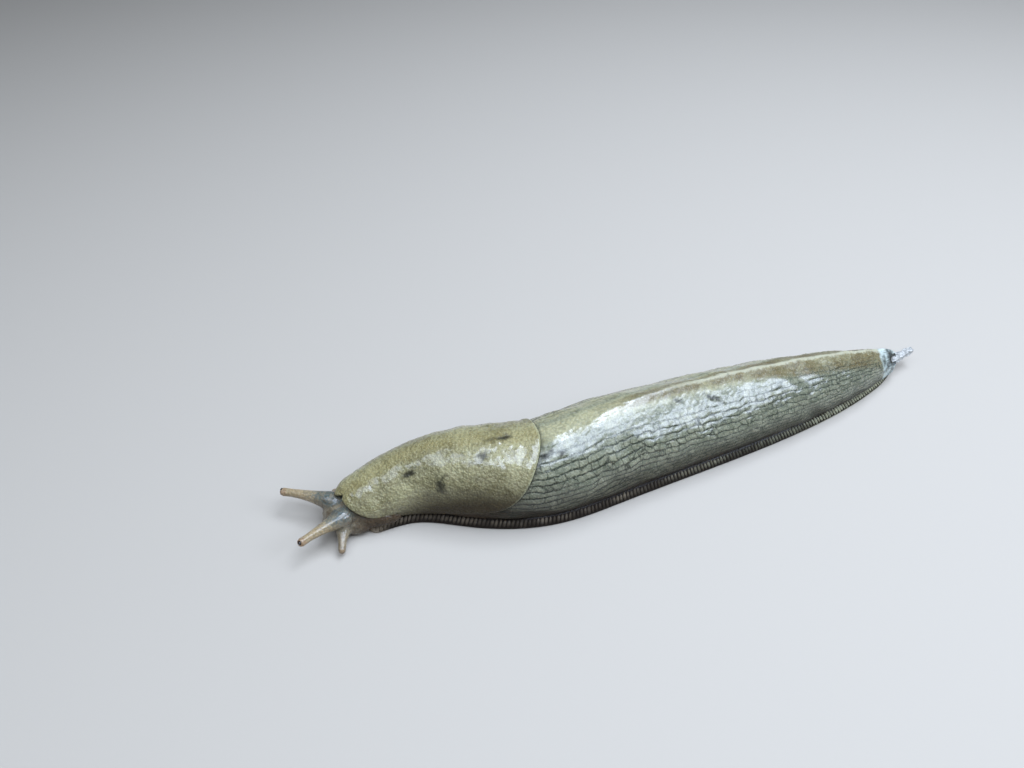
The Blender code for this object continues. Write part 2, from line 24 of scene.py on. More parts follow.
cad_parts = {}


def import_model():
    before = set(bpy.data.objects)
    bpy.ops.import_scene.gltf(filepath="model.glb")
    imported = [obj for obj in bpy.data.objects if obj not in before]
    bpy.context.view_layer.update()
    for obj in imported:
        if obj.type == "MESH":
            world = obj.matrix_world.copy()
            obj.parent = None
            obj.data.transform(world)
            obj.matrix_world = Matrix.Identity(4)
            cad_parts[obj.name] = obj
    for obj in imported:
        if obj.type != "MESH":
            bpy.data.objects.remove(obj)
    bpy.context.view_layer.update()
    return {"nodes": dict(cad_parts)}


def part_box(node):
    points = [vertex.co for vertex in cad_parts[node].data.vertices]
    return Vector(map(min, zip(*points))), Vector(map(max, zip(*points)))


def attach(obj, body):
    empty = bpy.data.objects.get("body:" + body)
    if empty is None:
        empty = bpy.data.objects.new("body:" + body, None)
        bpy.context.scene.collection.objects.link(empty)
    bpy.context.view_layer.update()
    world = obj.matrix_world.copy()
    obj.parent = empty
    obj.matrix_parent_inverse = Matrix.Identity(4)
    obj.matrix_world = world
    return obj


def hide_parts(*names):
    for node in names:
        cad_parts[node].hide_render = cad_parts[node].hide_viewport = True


LOG = logging.getLogger("banana_slug")
MM = 0.001
Array = np.ndarray
Place = tuple[float, float, float]
Face = tuple[int, ...]
RIPPLE_WAVES = 14
RIPPLE_HEIGHT = 4.5


class Zone(Enum):
    """The parts of the skin, numbered as the skin's material slots."""

    BACK = 0
    MANTLE = 1
    FOOT = 2
    HEAD = 3


def ramp(value: Array | float, start: float, end: float) -> Array:
    """A smooth step.

    Args:
        value: where to read the step.
        start: the step is 0 up to here.
        end: the step is 1 from here on.

    Returns:
        0 to 1 for each value.
    """
    q = np.clip((np.asarray(value, float) - start) / (end - start), 0.0, 1.0)
    return q * q * (3 - 2 * q)


def ripple(seed: int, wavelength: float, *coordinates: Array) -> Array:
    """Smooth seeded noise, a sum of plane waves in random directions.

    Args:
        seed: picks the waves.
        wavelength: the typical length of a wave, in the units of the coordinates.
        coordinates: one array for each axis, which broadcast against each other.

    Returns:
        Noise of about -1 to 1.
    """
    rng = np.random.default_rng(seed)
    total: Array = np.zeros(np.broadcast(*coordinates).shape)
    for _ in range(RIPPLE_WAVES):
        direction = rng.normal(size=len(coordinates))
        direction *= rng.uniform(0.6, 1.6) / (np.linalg.norm(direction) * wavelength)
        phase = rng.uniform(0, math.tau)
        total = total + np.sin(math.tau * sum(c * d for c, d in zip(coordinates, direction)) + phase)
    return total / RIPPLE_HEIGHT


def smooth_line(knots: Sequence[float], values: Sequence[float]) -> Callable[[Array], Array]:
    """A natural cubic spline.

    Args:
        knots: where the values lie, rising.
        values: the spline's value at each knot.

    Returns:
        A function that reads the spline at any places.
    """
    x, y = np.asarray(knots, float), np.asarray(values, float)
    step = np.diff(x)
    system, right = np.eye(len(x)), np.zeros(len(x))
    for i in range(1, len(x) - 1):
        system[i, i - 1 : i + 2] = step[i - 1], 2 * (step[i - 1] + step[i]), step[i]
        right[i] = 6 * ((y[i + 1] - y[i]) / step[i] - (y[i] - y[i - 1]) / step[i - 1])
    bend = np.linalg.solve(system, right)

    def value(at: Array) -> Array:
        """Reads the spline.

        Args:
            at: places.

        Returns:
            The spline's value at each place.
        """
        at = np.asarray(at, float)
        i = np.clip(np.searchsorted(x, at) - 1, 0, len(step) - 1)
        a, b = (x[i + 1] - at) / step[i], (at - x[i]) / step[i]
        return a * y[i] + b * y[i + 1] + ((a**3 - a) * bend[i] + (b**3 - b) * bend[i + 1]) * step[i] ** 2 / 6

    return value


@dataclass
class SkinPatch:
    """Points and faces of one stretch of skin, with what its material reads at each point.

    Args:
        points: places in millimetres, one row for each point.
        faces: point numbers of each face, turned outwards.
        zone: the part of the skin that it belongs to.
        values: what the materials read, by name, one number for each point.
    """

    points: Array
    faces: list[Face]
    zone: Zone
    values: dict[str, Array] = field(default_factory=dict)


SKIN_VALUES = ("cell_u", "cell_v", "around", "share", "mark", "rim", "rib", "tip", "net", "zone")


def grid_faces(rows: int, columns: int, closed: bool = False) -> list[Face]:
    """Faces between the points of a grid that is stored row by row.

    Args:
        rows: number of rows.
        columns: number of points in a row.
        closed: whether the last column joins the first.

    Returns:
        One tuple of point numbers for each face.
    """
    faces = []
    for i in range(rows - 1):
        for j in range(columns if closed else columns - 1):
            k = (j + 1) % columns
            faces.append((i * columns + j, i * columns + k, (i + 1) * columns + k, (i + 1) * columns + j))
    return faces


def tube_faces(rows: int, columns: int) -> list[Face]:
    """Faces of a closed tube whose rings are stored one after the other.

    Args:
        rows: number of rings.
        columns: number of points in a ring.

    Returns:
        The faces of its side, and then its two ends.
    """
    ends = [tuple(range(columns))[::-1], tuple(range((rows - 1) * columns, rows * columns))]
    return grid_faces(rows, columns, closed=True) + ends


@dataclass
class BodyForm:
    """The outer form of the body, from the solids' sizes but for the tail's end and the mantle's edges."""

    length: float = 145.0
    widest_half: float = 11.3
    highest: float = 19.4
    stations: tuple[tuple[float, float, float, float], ...] = (
        (0.00, 0.9, 0.50, 0.45),
        (0.05, 2.3, 0.59, 0.58),
        (0.12, 2.6, 0.68, 0.78),
        (0.20, -0.4, 0.87, 0.915),
        (0.30, -4.3, 0.975, 0.925),
        (0.40, -3.9, 0.98, 0.99),
        (0.55, -2.1, 0.97, 0.97),
        (0.70, -1.0, 0.88, 0.87),
        (0.82, 0.0, 0.73, 0.735),
        (0.91, 1.1, 0.54, 0.58),
        (0.965, 1.8, 0.38, 0.46),
        (1.00, 2.0, 0.28, 0.40),
    )
    girth_angle: float = 118.0
    widest_share: float = 0.40
    tuck: float = 0.13
    arch: float = 0.45
    keel_height: float = 0.45
    keel_half_width: float = 1.1
    foot_height: float = 2.1
    gap: float = 0.3
    tail_round: float = 5.6
    tail_reach: float = 1.5
    tail_centre: float = 4.6
    mantle_front: tuple[float, float] = (0.006, 0.045)
    mantle_rear: float = 0.302
    mantle_rear_slants: tuple[float, float] = (-0.042, -0.012)
    mantle_rear_bend: float = 0.14
    mantle_sides: tuple[float, float] = (0.985, 0.86)
    mantle_corner: float = 5.0
    mantle_thickness: float = 1.1
    cover_edge: float = 1.12
    cover_fade: float = 0.27

    def __post_init__(self) -> None:
        """Prepares the splines along the length."""
        shares = [station[0] for station in self.stations]
        self.offset = smooth_line(shares, [station[1] for station in self.stations])
        self.half_width = smooth_line(shares, [station[2] * self.widest_half for station in self.stations])
        self.height = smooth_line(shares, [station[3] * self.highest for station in self.stations])

    def spine(self, share: Array) -> tuple[Array, Array]:
        """The line on the ground under the back.

        Args:
            share: places along the length.

        Returns:
            Its points, and unit vectors to the animal's right.
        """
        share = np.asarray(share, float)
        small = 0.002
        slope = (self.offset(share + small) - self.offset(share - small)) / (2 * small * self.length)
        flat = np.zeros_like(share)
        ground = np.stack([(share - 0.5) * self.length, self.offset(share), flat], axis=-1)
        right = np.stack([-slope, flat + 1.0, flat], axis=-1)
        return ground, right / np.linalg.norm(right, axis=-1, keepdims=True)

    def section(self, share: Array, girth: Array) -> tuple[Array, Array]:
        """The body's outline across its length.

        Args:
            share: places along the length.
            girth: places round the body. Beyond 1 the outline turns in under the body, inside the foot.

        Returns:
            Sideways and upward places in millimetres.
        """
        share, girth = np.broadcast_arrays(np.asarray(share, float), np.asarray(girth, float))
        width, height = self.half_width(share), self.height(share)
        widest = self.widest_share * height
        floor = self.foot_height + self.gap
        angle = np.minimum(np.abs(girth), 1.0) * self.girth_angle
        arch = self.arch * ramp(share, 0.36, 0.56)
        sine, cosine = np.sin(np.radians(angle)), np.cos(np.radians(angle))
        crown = (1 - arch) * cosine + arch * (1 - np.clip(sine, 0, 1) ** 1.25)
        low = np.clip((angle - 90.0) / (self.girth_angle - 90.0), 0.0, 1.0)
        under = np.clip((np.abs(girth) - 1.0) / 0.2, 0.0, 1.0)
        upper = angle <= 90.0
        sideways = np.where(upper, width * sine, width * (1 - self.tuck * low * low)) * (1 - 0.3 * under)
        up = np.where(upper, widest + (height - widest) * crown, widest - (widest - floor) * low)
        up = up - 1.2 * under
        keel = self.keel_height * ramp(share, 0.40, 0.52)
        up = up + keel * np.exp(-((sideways / self.keel_half_width) ** 2)) * (under == 0)
        end = np.maximum((share - 1.0) * self.length + self.tail_round - self.tail_reach, 0.0)
        shrink = np.sqrt(np.maximum(1 - (end / self.tail_round) ** 2, 0.0025))
        return np.copysign(sideways * shrink, girth), self.tail_centre + (up - self.tail_centre) * shrink

    def surface(self, share: Array, girth: Array) -> Array:
        """Points of the outer surface.

        Args:
            share: places along the length.
            girth: places round the body.

        Returns:
            One row of x, y and z for each place.
        """
        ground, right = self.spine(share)
        sideways, up = self.section(share, girth)
        points = ground + right * sideways[..., None]
        points[..., 2] += up
        return points

    def lifted(self, share: Array, girth: Array, lift: Array | float) -> Array:
        """Points of the outer surface, moved outwards.

        Args:
            share: places along the length.
            girth: places round the body.
            lift: how far, in millimetres.

        Returns:
            One row of x, y and z for each place.
        """
        small = 0.004
        along = self.surface(share + small, girth) - self.surface(share - small, girth)
        around = self.surface(share, girth + small) - self.surface(share, girth - small)
        out = np.cross(along, around)
        out /= np.maximum(np.linalg.norm(out, axis=-1, keepdims=True), 1e-12)
        return self.surface(share, girth) + out * np.asarray(lift, float)[..., None]

    def girth_length(self, share: Array) -> Array:
        """Measures the outline from the middle of the back to the groove.

        Args:
            share: places along the length.

        Returns:
            Its length in mm at each share.
        """
        steps = np.linspace(0.0, 1.0, 60)
        sideways, up = self.section(np.asarray(share, float)[..., None], steps)
        return np.hypot(np.diff(sideways, axis=-1), np.diff(up, axis=-1)).sum(axis=-1)

    def mantle_edges(self, across: Array) -> tuple[Array, Array]:
        """Where the mantle starts and ends.

        Args:
            across: from -1 at its left side to 1 at its right.

        Returns:
            Shares of the length at its front and rear edges.
        """
        left, right = self.mantle_rear_slants
        front = self.mantle_front[0] + self.mantle_front[1] * across**2
        soft = self.mantle_rear_bend
        bend = (np.sqrt(across**2 + soft**2) - soft) / (math.sqrt(1 + soft**2) - soft)
        return front, self.mantle_rear + np.where(across < 0, left, right) * bend

    def mantle_side(self, share: Array) -> Array:
        """How far down the girth the mantle reaches at each share of the length."""
        front, rear = self.mantle_sides
        return front + (rear - front) * ramp(share, 0.12, 0.24)

    def mantle_reach(self, share: Array, girth: Array) -> Array:
        """How far out a place lies on the mantle.

        Args:
            share: places along the length.
            girth: places round the body.

        Returns:
            0 at the mantle's middle and 1 on its rim, and more beyond it.
        """
        across = girth / self.mantle_side(share)
        front, rear = self.mantle_edges(across)
        along = np.abs(2 * (share - front) / (rear - front) - 1)
        return (along**self.mantle_corner + np.abs(across) ** self.mantle_corner) ** (1 / self.mantle_corner)

    def sink(self, share: Array, girth: Array) -> Array:
        """Room for the mantle.

        Args:
            share: places along the length.
            girth: places round the body.

        Returns:
            How far in mm the back lies under the outer surface.
        """
        across = np.abs(girth) / self.mantle_side(share)
        reach = np.where(share < 0.15, across, self.mantle_reach(share, girth))
        covered = 1 - ramp(reach, self.cover_edge - self.cover_fade, self.cover_edge)
        return (self.mantle_thickness + self.gap) * covered


@dataclass
class Mark:
    """A dark patch on the skin: a blotch, a scar, or painted shade by the tail's pit.

    Args:
        share: its middle along the length.
        girth: its middle round the body.
        long: half its length in mm.
        wide: half its width in mm.
        turn: degrees that its length is turned from the body's, upwards towards the tail.
        strength: how dark it is, from 0 to 1.
        depth: how deep it is pressed in, in mm.
    """

    share: float
    girth: float
    long: float
    wide: float
    turn: float = 0.0
    strength: float = 0.8
    depth: float = 0.0


MARKS = (
    Mark(0.112, -0.30, 2.1, 1.2, 10, 0.9, 0.10),
    Mark(0.161, -0.51, 1.3, 2.4, 12, 0.88, 0.10),
    Mark(0.170, -0.40, 0.9, 0.7, 0, 0.5),
    Mark(0.222, -0.21, 1.4, 1.1, 40, 0.85, 0.15),
    Mark(0.252, -0.005, 2.0, 0.8, 20, 0.92, 0.10),
    Mark(0.237, -0.02, 2.8, 0.7, 14, 0.5, 0.04),
    Mark(0.300, -0.52, 0.8, 0.5, 0, 0.35),
    Mark(0.140, -0.62, 0.8, 0.9, 0, 0.35),
    Mark(0.215, -0.42, 0.7, 0.5, 60, 0.35),
    Mark(0.300, -0.245, 1.0, 0.8, 0, 0.95),
    Mark(0.310, -0.215, 0.8, 0.6, 20, 0.8),
    Mark(0.322, -0.255, 1.0, 0.7, 0, 0.9),
    Mark(0.524, -0.13, 1.6, 0.6, -35, 0.85, 0.15),
    Mark(0.580, -0.18, 1.8, 0.5, -42, 0.9, 0.18),
    Mark(0.590, -0.20, 1.7, 0.45, -42, 0.85, 0.18),
    Mark(0.507, -0.66, 0.9, 0.6, 0, 0.5),
    Mark(0.526, -0.76, 0.8, 0.5, 0, 0.4),
    Mark(0.570, -0.64, 0.8, 0.5, 0, 0.45),
    Mark(0.765, -0.43, 0.5, 1.8, 0, 0.5, 0.10),
    # The last two are painted shade at the mouth of the tail's pit.
    Mark(0.985, -0.25, 2.2, 8.0, 0, 0.97),
    Mark(0.970, -0.42, 0.7, 2.6, 0, 0.9),
)


def mark_field(form: BodyForm, share: Array, girth: Array) -> tuple[Array, Array]:
    """The dark marks and their dents at places on the body.

    Args:
        form: the body's form.
        share: places along the length.
        girth: places round the body.

    Returns:
        Darkness from 0 to 1, and depth in mm.
    """
    around = form.girth_length(np.array([0.3]))[0]
    darkness = depth = np.zeros(np.broadcast(share, girth).shape)
    for number, mark in enumerate(MARKS):
        along = (share - mark.share) * form.length
        up = (girth - mark.girth) * around * -np.sign(mark.girth)
        turn = math.radians(mark.turn)
        x = along * math.cos(turn) + up * math.sin(turn)
        y = up * math.cos(turn) - along * math.sin(turn)
        edge = 1 + 0.35 * ripple(900 + number, 1.4, along, up)
        inside = 1 - ramp(np.hypot(x / mark.long, y / mark.wide) * edge, 0.25, 1.25)
        darkness = np.maximum(darkness, inside * mark.strength)
        depth = np.maximum(depth, inside * mark.depth)
    return darkness, depth


@dataclass
class Trunk:
    """Neck, back, flanks and tail as one closed form, with the long grooves of the skin in its mesh."""

    form: BodyForm
    grooves_a_side: int = 16
    groove_steps: tuple[float, ...] = (0.0, 0.12, 0.37, 0.63, 0.88)
    groove_depth: float = 0.035
    crown: float = 0.008
    ring_pitch: float = 0.5
    hidden_pitch: float = 0.9
    first_share: float = 0.034
    pattern_from: float = 0.225

    def shares(self) -> Array:
        """Spaces the rings, close together where the skin shows.

        Returns:
            Their shares of the length.
        """
        length = self.form.length
        hidden = np.arange(self.first_share, self.pattern_from, self.hidden_pitch / length)
        last_share = 1 + self.form.tail_reach / length
        end = last_share - self.form.tail_round / length
        shown = np.arange(self.pattern_from, end, self.ring_pitch / length)
        last = end + (last_share - 0.0003 - end) * np.sin(np.linspace(0.04, 0.5, 18) * math.pi)
        return np.concatenate([hidden, shown, last])

    def line_places(self) -> Array:
        """Spaces the points of a ring.

        Returns:
            Places round the girth counted in grooves, from the left side to the right one.
        """
        count = self.grooves_a_side
        side = np.array([j + step for j in range(count) for step in self.groove_steps] + [float(count)])
        return np.concatenate([-side[:0:-1], side])

    def wandering(self, share: Array, line: Array) -> Array:
        """How far each groove wanders from its even place.

        Args:
            share: places along the length, as a column.
            line: places counted in grooves, as a row.

        Returns:
            Shifts counted in grooves.
        """
        along = share * self.form.length
        count = self.grooves_a_side
        inside = np.sin(np.pi * np.clip(np.abs(line) / count, 0, 1))
        broad = 0.22 * ripple(11, 17.0, along, line * 2.5)
        whole = np.floor(line)
        part = line - whole
        own = [ripple(12, 4.5, along, near * 7.3) for near in (whole, whole + 1)]
        own = (1 - part) * own[0] + part * own[1]
        fan = 1.1 * (1 - ramp(share, 0.27, 0.44)) * np.sign(line)
        return (broad + 0.15 * own + fan) * inside

    def build(self) -> SkinPatch:
        """Builds the trunk.

        Returns:
            The closed patch of skin.
        """
        form, count = self.form, self.grooves_a_side
        share, line = self.shares()[:, None], self.line_places()[None, :]
        even = (line + self.wandering(share, line)) / count
        girth = np.clip(np.sign(even) * np.abs(even) * (1.1 - 0.1 * np.abs(even)), -1.0, 1.0)
        around = girth * form.girth_length(share[:, 0])[:, None]
        along = share * form.length
        nearest = np.abs(line - np.round(line))
        _, groove_edge, crown_edge, *_ = self.groove_steps
        groove = np.clip(1 - nearest / groove_edge, 0, 1) * (1 - 0.6 * ramp(share, 0.93, 0.98))
        behind = ramp(share, 0.60, 0.85)
        near_crest = np.clip((-around - 3.0 + 1.7 * behind) / (4.4 - 1.5 * behind), 0, 1)
        fade = np.where(around < 0, near_crest, ramp(around, 3.0, 8.0))
        groove = groove * fade
        groove = groove * (np.round(np.abs(line)) != count) * (0.7 + 0.4 * ripple(24, 6.0, along, line * 2.3))
        crown = self.crown * np.clip(nearest / crown_edge, 0, 1)
        lumps = 0.05 * ripple(21, 1.5, along, around) + 0.16 * ripple(22, 9.0, along, around)
        edge = 1 - ramp(np.abs(girth), 0.93, 1.0)
        pattern = ramp(share, 0.17, 0.22)
        darkness, depth = mark_field(form, share, girth)
        uneven = 0.75 + 0.35 * ripple(23, 5.0, along, line)
        lift = (crown - self.groove_depth * groove * uneven + lumps) * edge
        lift = lift * (0.4 + 0.6 * pattern) - depth - form.sink(share, girth)
        points = form.lifted(share, girth, lift * (1 - ramp(share, 0.99, 1.007)))
        rows, columns = girth.shape
        under = form.surface(share, np.array([[-1.2, -1.1, 1.1, 1.2]]))
        points = np.concatenate([under[:, :2], points, under[:, 2:]], axis=1)

        def widened(values: Array) -> Array:
            """The values of each row, carried on to the points under the body."""
            return np.pad(np.broadcast_to(values, (rows, columns)), ((0, 0), (2, 2)), "edge").ravel()

        tip = ramp(share, 0.942, 0.968)
        net = pattern * edge * (1 - 0.7 * tip) * (0.06 + 0.94 * fade)
        reach = form.mantle_reach(share, girth)
        # The band where the trunk meets the mantle's rim; the back's skin darkens it as painted shadow under
        # the rim.
        rim = ramp(reach, 0.96, 0.99) * (1 - ramp(reach, 1.005, 1.04))
        values = {
            "cell_u": along, "cell_v": line, "around": around, "share": share,
            "mark": darkness, "tip": tip, "net": net, "rim": rim,
        }
        values = {name: widened(value) for name, value in values.items()}
        return SkinPatch(points.reshape(-1, 3), tube_faces(rows, columns + 4), Zone.BACK, values)


@dataclass
class Mantle:
    """The shield over the front of the back, thick, with a free rounded rim that hangs over the neck.

    The breathing hole lies at a share of the length and a number of mm round from the middle of the back. The
    edge loops give how far out each lies, 1 on the rim, its height as a part of the rim's thickness, and for
    the two inside the body how deep they lie in mm.
    """

    form: BodyForm
    steps_along: int = 120
    steps_across: int = 124
    rim_thickness: float = 0.45
    round_from: float = 0.85
    top_reach: float = 0.988
    hole: tuple[float, float] = (0.205, 11.75)
    hole_size: tuple[float, float] = (1.6, 1.0)
    hole_depth: float = 1.0
    notch: tuple[float, float] = (0.8, 0.7)
    edge_loops: tuple[tuple[float, float, float], ...] = (
        (0.9965, 0.82, 0.0), (1.0, 0.5, 0.0), (0.9965, 0.15, 0.0), (0.988, 0.0, 0.0), (0.95, 0.0, 0.0),
        (0.90, 0.0, 2.4), (0.55, 0.0, 3.0),
    )

    def place(self, x: Array, y: Array) -> tuple[Array, Array]:
        """Maps the mantle's own square to the body.

        Args:
            x: from -1 at the front to 1 at the rear.
            y: from -1 at the left side to 1 at the right.

        Returns:
            Shares of the length and places round the girth.
        """
        corner = self.form.mantle_corner
        square = np.maximum(np.abs(x), np.abs(y))
        rounded = (np.abs(x) ** corner + np.abs(y) ** corner) ** (1 / corner)
        fit = square / np.maximum(rounded, 1e-9)
        along, across = x * fit, y * fit
        front, rear = self.form.mantle_edges(across)
        share = front + (rear - front) * (1 + along) / 2
        dent, lobe = self.notch
        notch = dent * np.exp(-((across / 0.06) ** 2)) - lobe * np.exp(-(((across - 0.2) / 0.14) ** 2))
        share = share + notch * ramp(-along, 0.5, 1.0) / self.form.length
        return share, across * self.form.mantle_side(share)

    def build(self) -> SkinPatch:
        """Builds the mantle.

        Returns:
            The closed patch, whose underside turns into the body a little way in from the rim.
        """
        form, inner = self.form, self.top_reach
        x, y = np.meshgrid(*[
            np.sin(np.linspace(-0.5, 0.5, steps + 1) * math.pi * 0.8) / math.sin(0.4 * math.pi) * inner
            for steps in (self.steps_along, self.steps_across)
        ], indexing="ij")
        share, girth = self.place(x, y)
        reach = np.maximum(np.abs(x), np.abs(y))
        thickness = self.rim_thickness + (form.mantle_thickness - self.rim_thickness) * np.sqrt(
            1 - ramp(reach, self.round_from, 1.0) ** 2
        )
        mm_along = share * form.length
        mm_around = girth * form.girth_length(share)
        darkness, depth = mark_field(form, share, girth)
        calm = 1 - ramp(reach, 0.94, 0.99)
        lumps = 0.10 * ripple(31, 6.0, mm_along, mm_around) + 0.035 * ripple(32, 1.6, mm_along, mm_around)
        creases = 0.012 * ripple(33, 1.0, mm_along + 0.2 * mm_around, mm_around / 6)
        lift = form.gap - form.sink(share, girth) + thickness + (lumps + creases - depth) * calm
        (hole_share, hole_around), (long, wide) = self.hole, self.hole_size
        hole = np.hypot((share - hole_share) * form.length / long, (mm_around - hole_around) / wide)
        hole_rim = 0.12 * np.exp(-(((hole - 1.25) / 0.3) ** 2))
        lift = lift - self.hole_depth * (1 - ramp(hole, 0.3, 1.0)) + hole_rim
        # Painted shade inside the breathing hole, carried as a dark mark.
        darkness = np.maximum(darkness, 0.9 * (1 - ramp(hole, 0.3, 0.9)))
        top = form.lifted(share, girth, lift)
        rows, columns = share.shape
        faces = grid_faces(rows, columns)
        number = np.arange(rows * columns).reshape(rows, columns)
        sides = (number[:, 0], number[-1, 1:], number[-2::-1, -1], number[0, -2:0:-1])
        ring = np.concatenate(sides).tolist()
        loop_x, loop_y = x.ravel()[ring] / inner, y.ravel()[ring] / inner
        points = [top.reshape(-1, 3)]
        start, previous = rows * columns, ring
        for loop_reach, part, sunk in self.edge_loops:
            loop_share, loop_girth = self.place(loop_x * loop_reach, loop_y * loop_reach)
            height = form.gap - form.sink(loop_share, loop_girth) + self.rim_thickness * part
            height = 0 * height - sunk if sunk else height
            current = list(range(start, start + len(ring)))
            for i in range(len(ring)):
                k = (i + 1) % len(ring)
                faces.append((previous[k], previous[i], current[i], current[k]))
            points.append(form.lifted(loop_share, loop_girth, height))
            previous, start = current, start + len(ring)
        faces.append(tuple(previous[::-1]))

        def with_loops(values: Array) -> Array:
            """The values of the top, and those of its edge again for each loop."""
            flat = values.ravel()
            return np.concatenate([flat, np.tile(flat[ring], len(self.edge_loops))])

        values = {
            "cell_u": mm_along, "cell_v": mm_around, "around": mm_around, "share": share,
            "mark": darkness, "rim": ramp(reach, 0.972, 0.992),
        }
        values = {name: with_loops(value) for name, value in values.items()}
        values["rim"][top.size // 3 :] = 1.0
        return SkinPatch(np.concatenate(points), faces, Zone.MANTLE, values)


@dataclass
class Foot:
    """The flat sole and the fringe round it, which carries fine upright ribs."""

    form: BodyForm
    front: float = -68.8
    rear: float = 73.0
    share_of_width: float = 0.985
    lean: float = 0.3
    front_round: float = 2.6
    rear_round: float = 9.0
    ring_pitch: float = 0.8
    levels: tuple[tuple[float, float], ...] = (
        (0.0, 0.45), (0.2, 0.16), (0.45, 0.1), (1.0, 0.5), (1.6, 1.05), (2.1, 1.5),
    )
    rib_ends: tuple[tuple[float, float], ...] = ((0.45, 0.1), (1.9, 1.32))
    rib_pitch: float = 0.9
    rib_length: float = 2.0
    rib_width: float = 0.78
    rib_height: float = 0.5

    def outline(self, x: Array) -> tuple[Array, Array, Array, Array]:
        """The foot's edge on the ground.

        Args:
            x: places along the ground in mm.

        Returns:
            Points on the middle line, unit vectors to the right, half widths, and how much the ends draw in.
        """
        share = x / self.form.length + 0.5
        width = self.share_of_width * self.form.half_width(np.minimum(share, 0.985))
        rounding = np.ones_like(x)
        for end in ((x - self.front) / self.front_round, (self.rear - x) / self.rear_round):
            end = np.clip(end, 0.0, 1.0)
            rounding = rounding * np.sqrt(np.maximum(0.0, 1 - (1 - end) ** 2.4))
        ground, right = self.form.spine(share)
        return ground - right * (self.lean * (1 - ramp(share, 0.02, 0.12)))[:, None], right, width, rounding

    def stations(self) -> Array:
        """Spaces the foot's outlines, closer together at its round ends.

        Returns:
            Their places along the ground.
        """
        count = round((self.rear - self.front) / self.ring_pitch)
        middle = np.linspace(self.front + self.front_round, self.rear - self.rear_round, count)
        quarter = 1 - np.cos(np.linspace(0.03, 0.5, 12)[:-1] * math.pi)
        return np.concatenate(
            [self.front + self.front_round * quarter, middle, self.rear - self.rear_round * quarter[::-1]]
        )

    def level_point(self, x: Array, height: float, inset: float, side: float) -> Array:
        """Points of the foot's side.

        Args:
            x: places along the ground.
            height: height over the ground.
            inset: how far inside the fringe's edge.
            side: -1 for the left, 1 for the right.

        Returns:
            One row for each place.
        """
        ground, right, width, rounding = self.outline(x)
        drawn_in = inset * (1 - 2 * (x - self.front) / (self.rear - self.front))
        points = ground + right * (side * (width - inset) * rounding)[:, None]
        points[:, 0] += drawn_in
        points[:, 2] += height
        return points

    def build(self) -> SkinPatch:
        """Builds the foot without its ribs.

        Returns:
            The closed patch.
        """
        x = self.stations()
        left = [self.level_point(x, height, inset, -1.0) for height, inset in reversed(self.levels)]
        right = [self.level_point(x, height, inset, 1.0) for height, inset in self.levels]
        points = np.stack(left + right, axis=1)
        rows, columns = points.shape[:2]
        faces = [face[::-1] for face in tube_faces(rows, columns)]
        share = np.repeat(x / self.form.length + 0.5, columns)
        return SkinPatch(points.reshape(-1, 3), faces, Zone.FOOT, {"share": share})

    def guide(self) -> Object:
        """The line that the ribs follow, from the front round the left side, the tail and the right side.

        Returns:
            A mesh object of edges, with each point's outward and rising directions as attributes.
        """
        x = self.stations()[1:-1]
        base, top = (
            np.concatenate([self.level_point(x, *end, -1.0), self.level_point(x, *end, 1.0)[::-1]])
            for end in self.rib_ends
        )
        middle = (base + top) / 2
        rising = top - base
        rising /= np.linalg.norm(rising, axis=1, keepdims=True)
        path = np.gradient(middle, axis=0)
        out = np.cross(rising, path)
        out /= np.linalg.norm(out, axis=1, keepdims=True)
        out *= np.where(out[:, 2:] > 0, 1.0, -1.0)
        guide = line_object("fringe_guide", [middle * MM])
        for name, vectors in (("outward", out), ("rising", rising)):
            vector = guide.data.attributes.new(name, "FLOAT_VECTOR", "POINT")
            vector.data.foreach_set("vector", vectors.ravel())
        return guide

    def ribs(self, material: Material) -> Mesh:
        """Grows the ribs along the guide line with a node tree.

        Args:
            material: the foot's skin.

        Returns:
            A mesh with every rib.
        """
        tree = GrowthTree("fringe_ribs", {
            "Pitch": ("NodeSocketFloat", self.rib_pitch * MM),
            "Length": ("NodeSocketFloat", self.rib_length * MM),
            "Width": ("NodeSocketFloat", self.rib_width * MM),
            "Height": ("NodeSocketFloat", self.rib_height * MM),
            "Seed": ("NodeSocketInt", 5),
            "Skin": ("NodeSocketMaterial", material),
        })
        source = tree.add("NodeGroupInput")
        curve = tree.add("GeometryNodeMeshToCurve", {"Mesh": source.outputs["Geometry"]})
        lengths = {"Curve": curve.outputs[0], "Length": source.outputs["Pitch"]}
        spaced = tree.add("GeometryNodeResampleCurve", lengths, mode="LENGTH")
        size = tree.add("ShaderNodeCombineXYZ", {
            "X": source.outputs["Width"], "Y": source.outputs["Length"], "Z": source.outputs["Height"]
        })
        bead = tree.add("GeometryNodeMeshUVSphere", {"Segments": 12, "Rings": 4, "Radius": 0.5})
        rib = tree.add("GeometryNodeTransform", {"Geometry": bead.outputs["Mesh"], "Scale": size.outputs[0]})
        outward, rising = (
            tree.add("GeometryNodeInputNamedAttribute", {"Name": name}, data_type="FLOAT_VECTOR")
            for name in ("outward", "rising")
        )
        turned = tree.add(
            "FunctionNodeAxesToRotation",
            {"Primary Axis": outward.outputs["Attribute"], "Secondary Axis": rising.outputs["Attribute"]},
            primary_axis="Z", secondary_axis="Y",
        )
        uneven = tree.add(
            "FunctionNodeRandomValue",
            {"Min": (0.72, 0.78, 0.65), "Max": (1.18, 1.12, 1.2), "Seed": source.outputs["Seed"]},
            data_type="FLOAT_VECTOR",
        )
        placed = tree.add("GeometryNodeInstanceOnPoints", {
            "Points": spaced.outputs[0],
            "Instance": rib.outputs[0],
            "Rotation": turned.outputs[0],
            "Scale": uneven.outputs[0],
        })
        return tree.grow(placed, source.outputs["Skin"], self.guide())


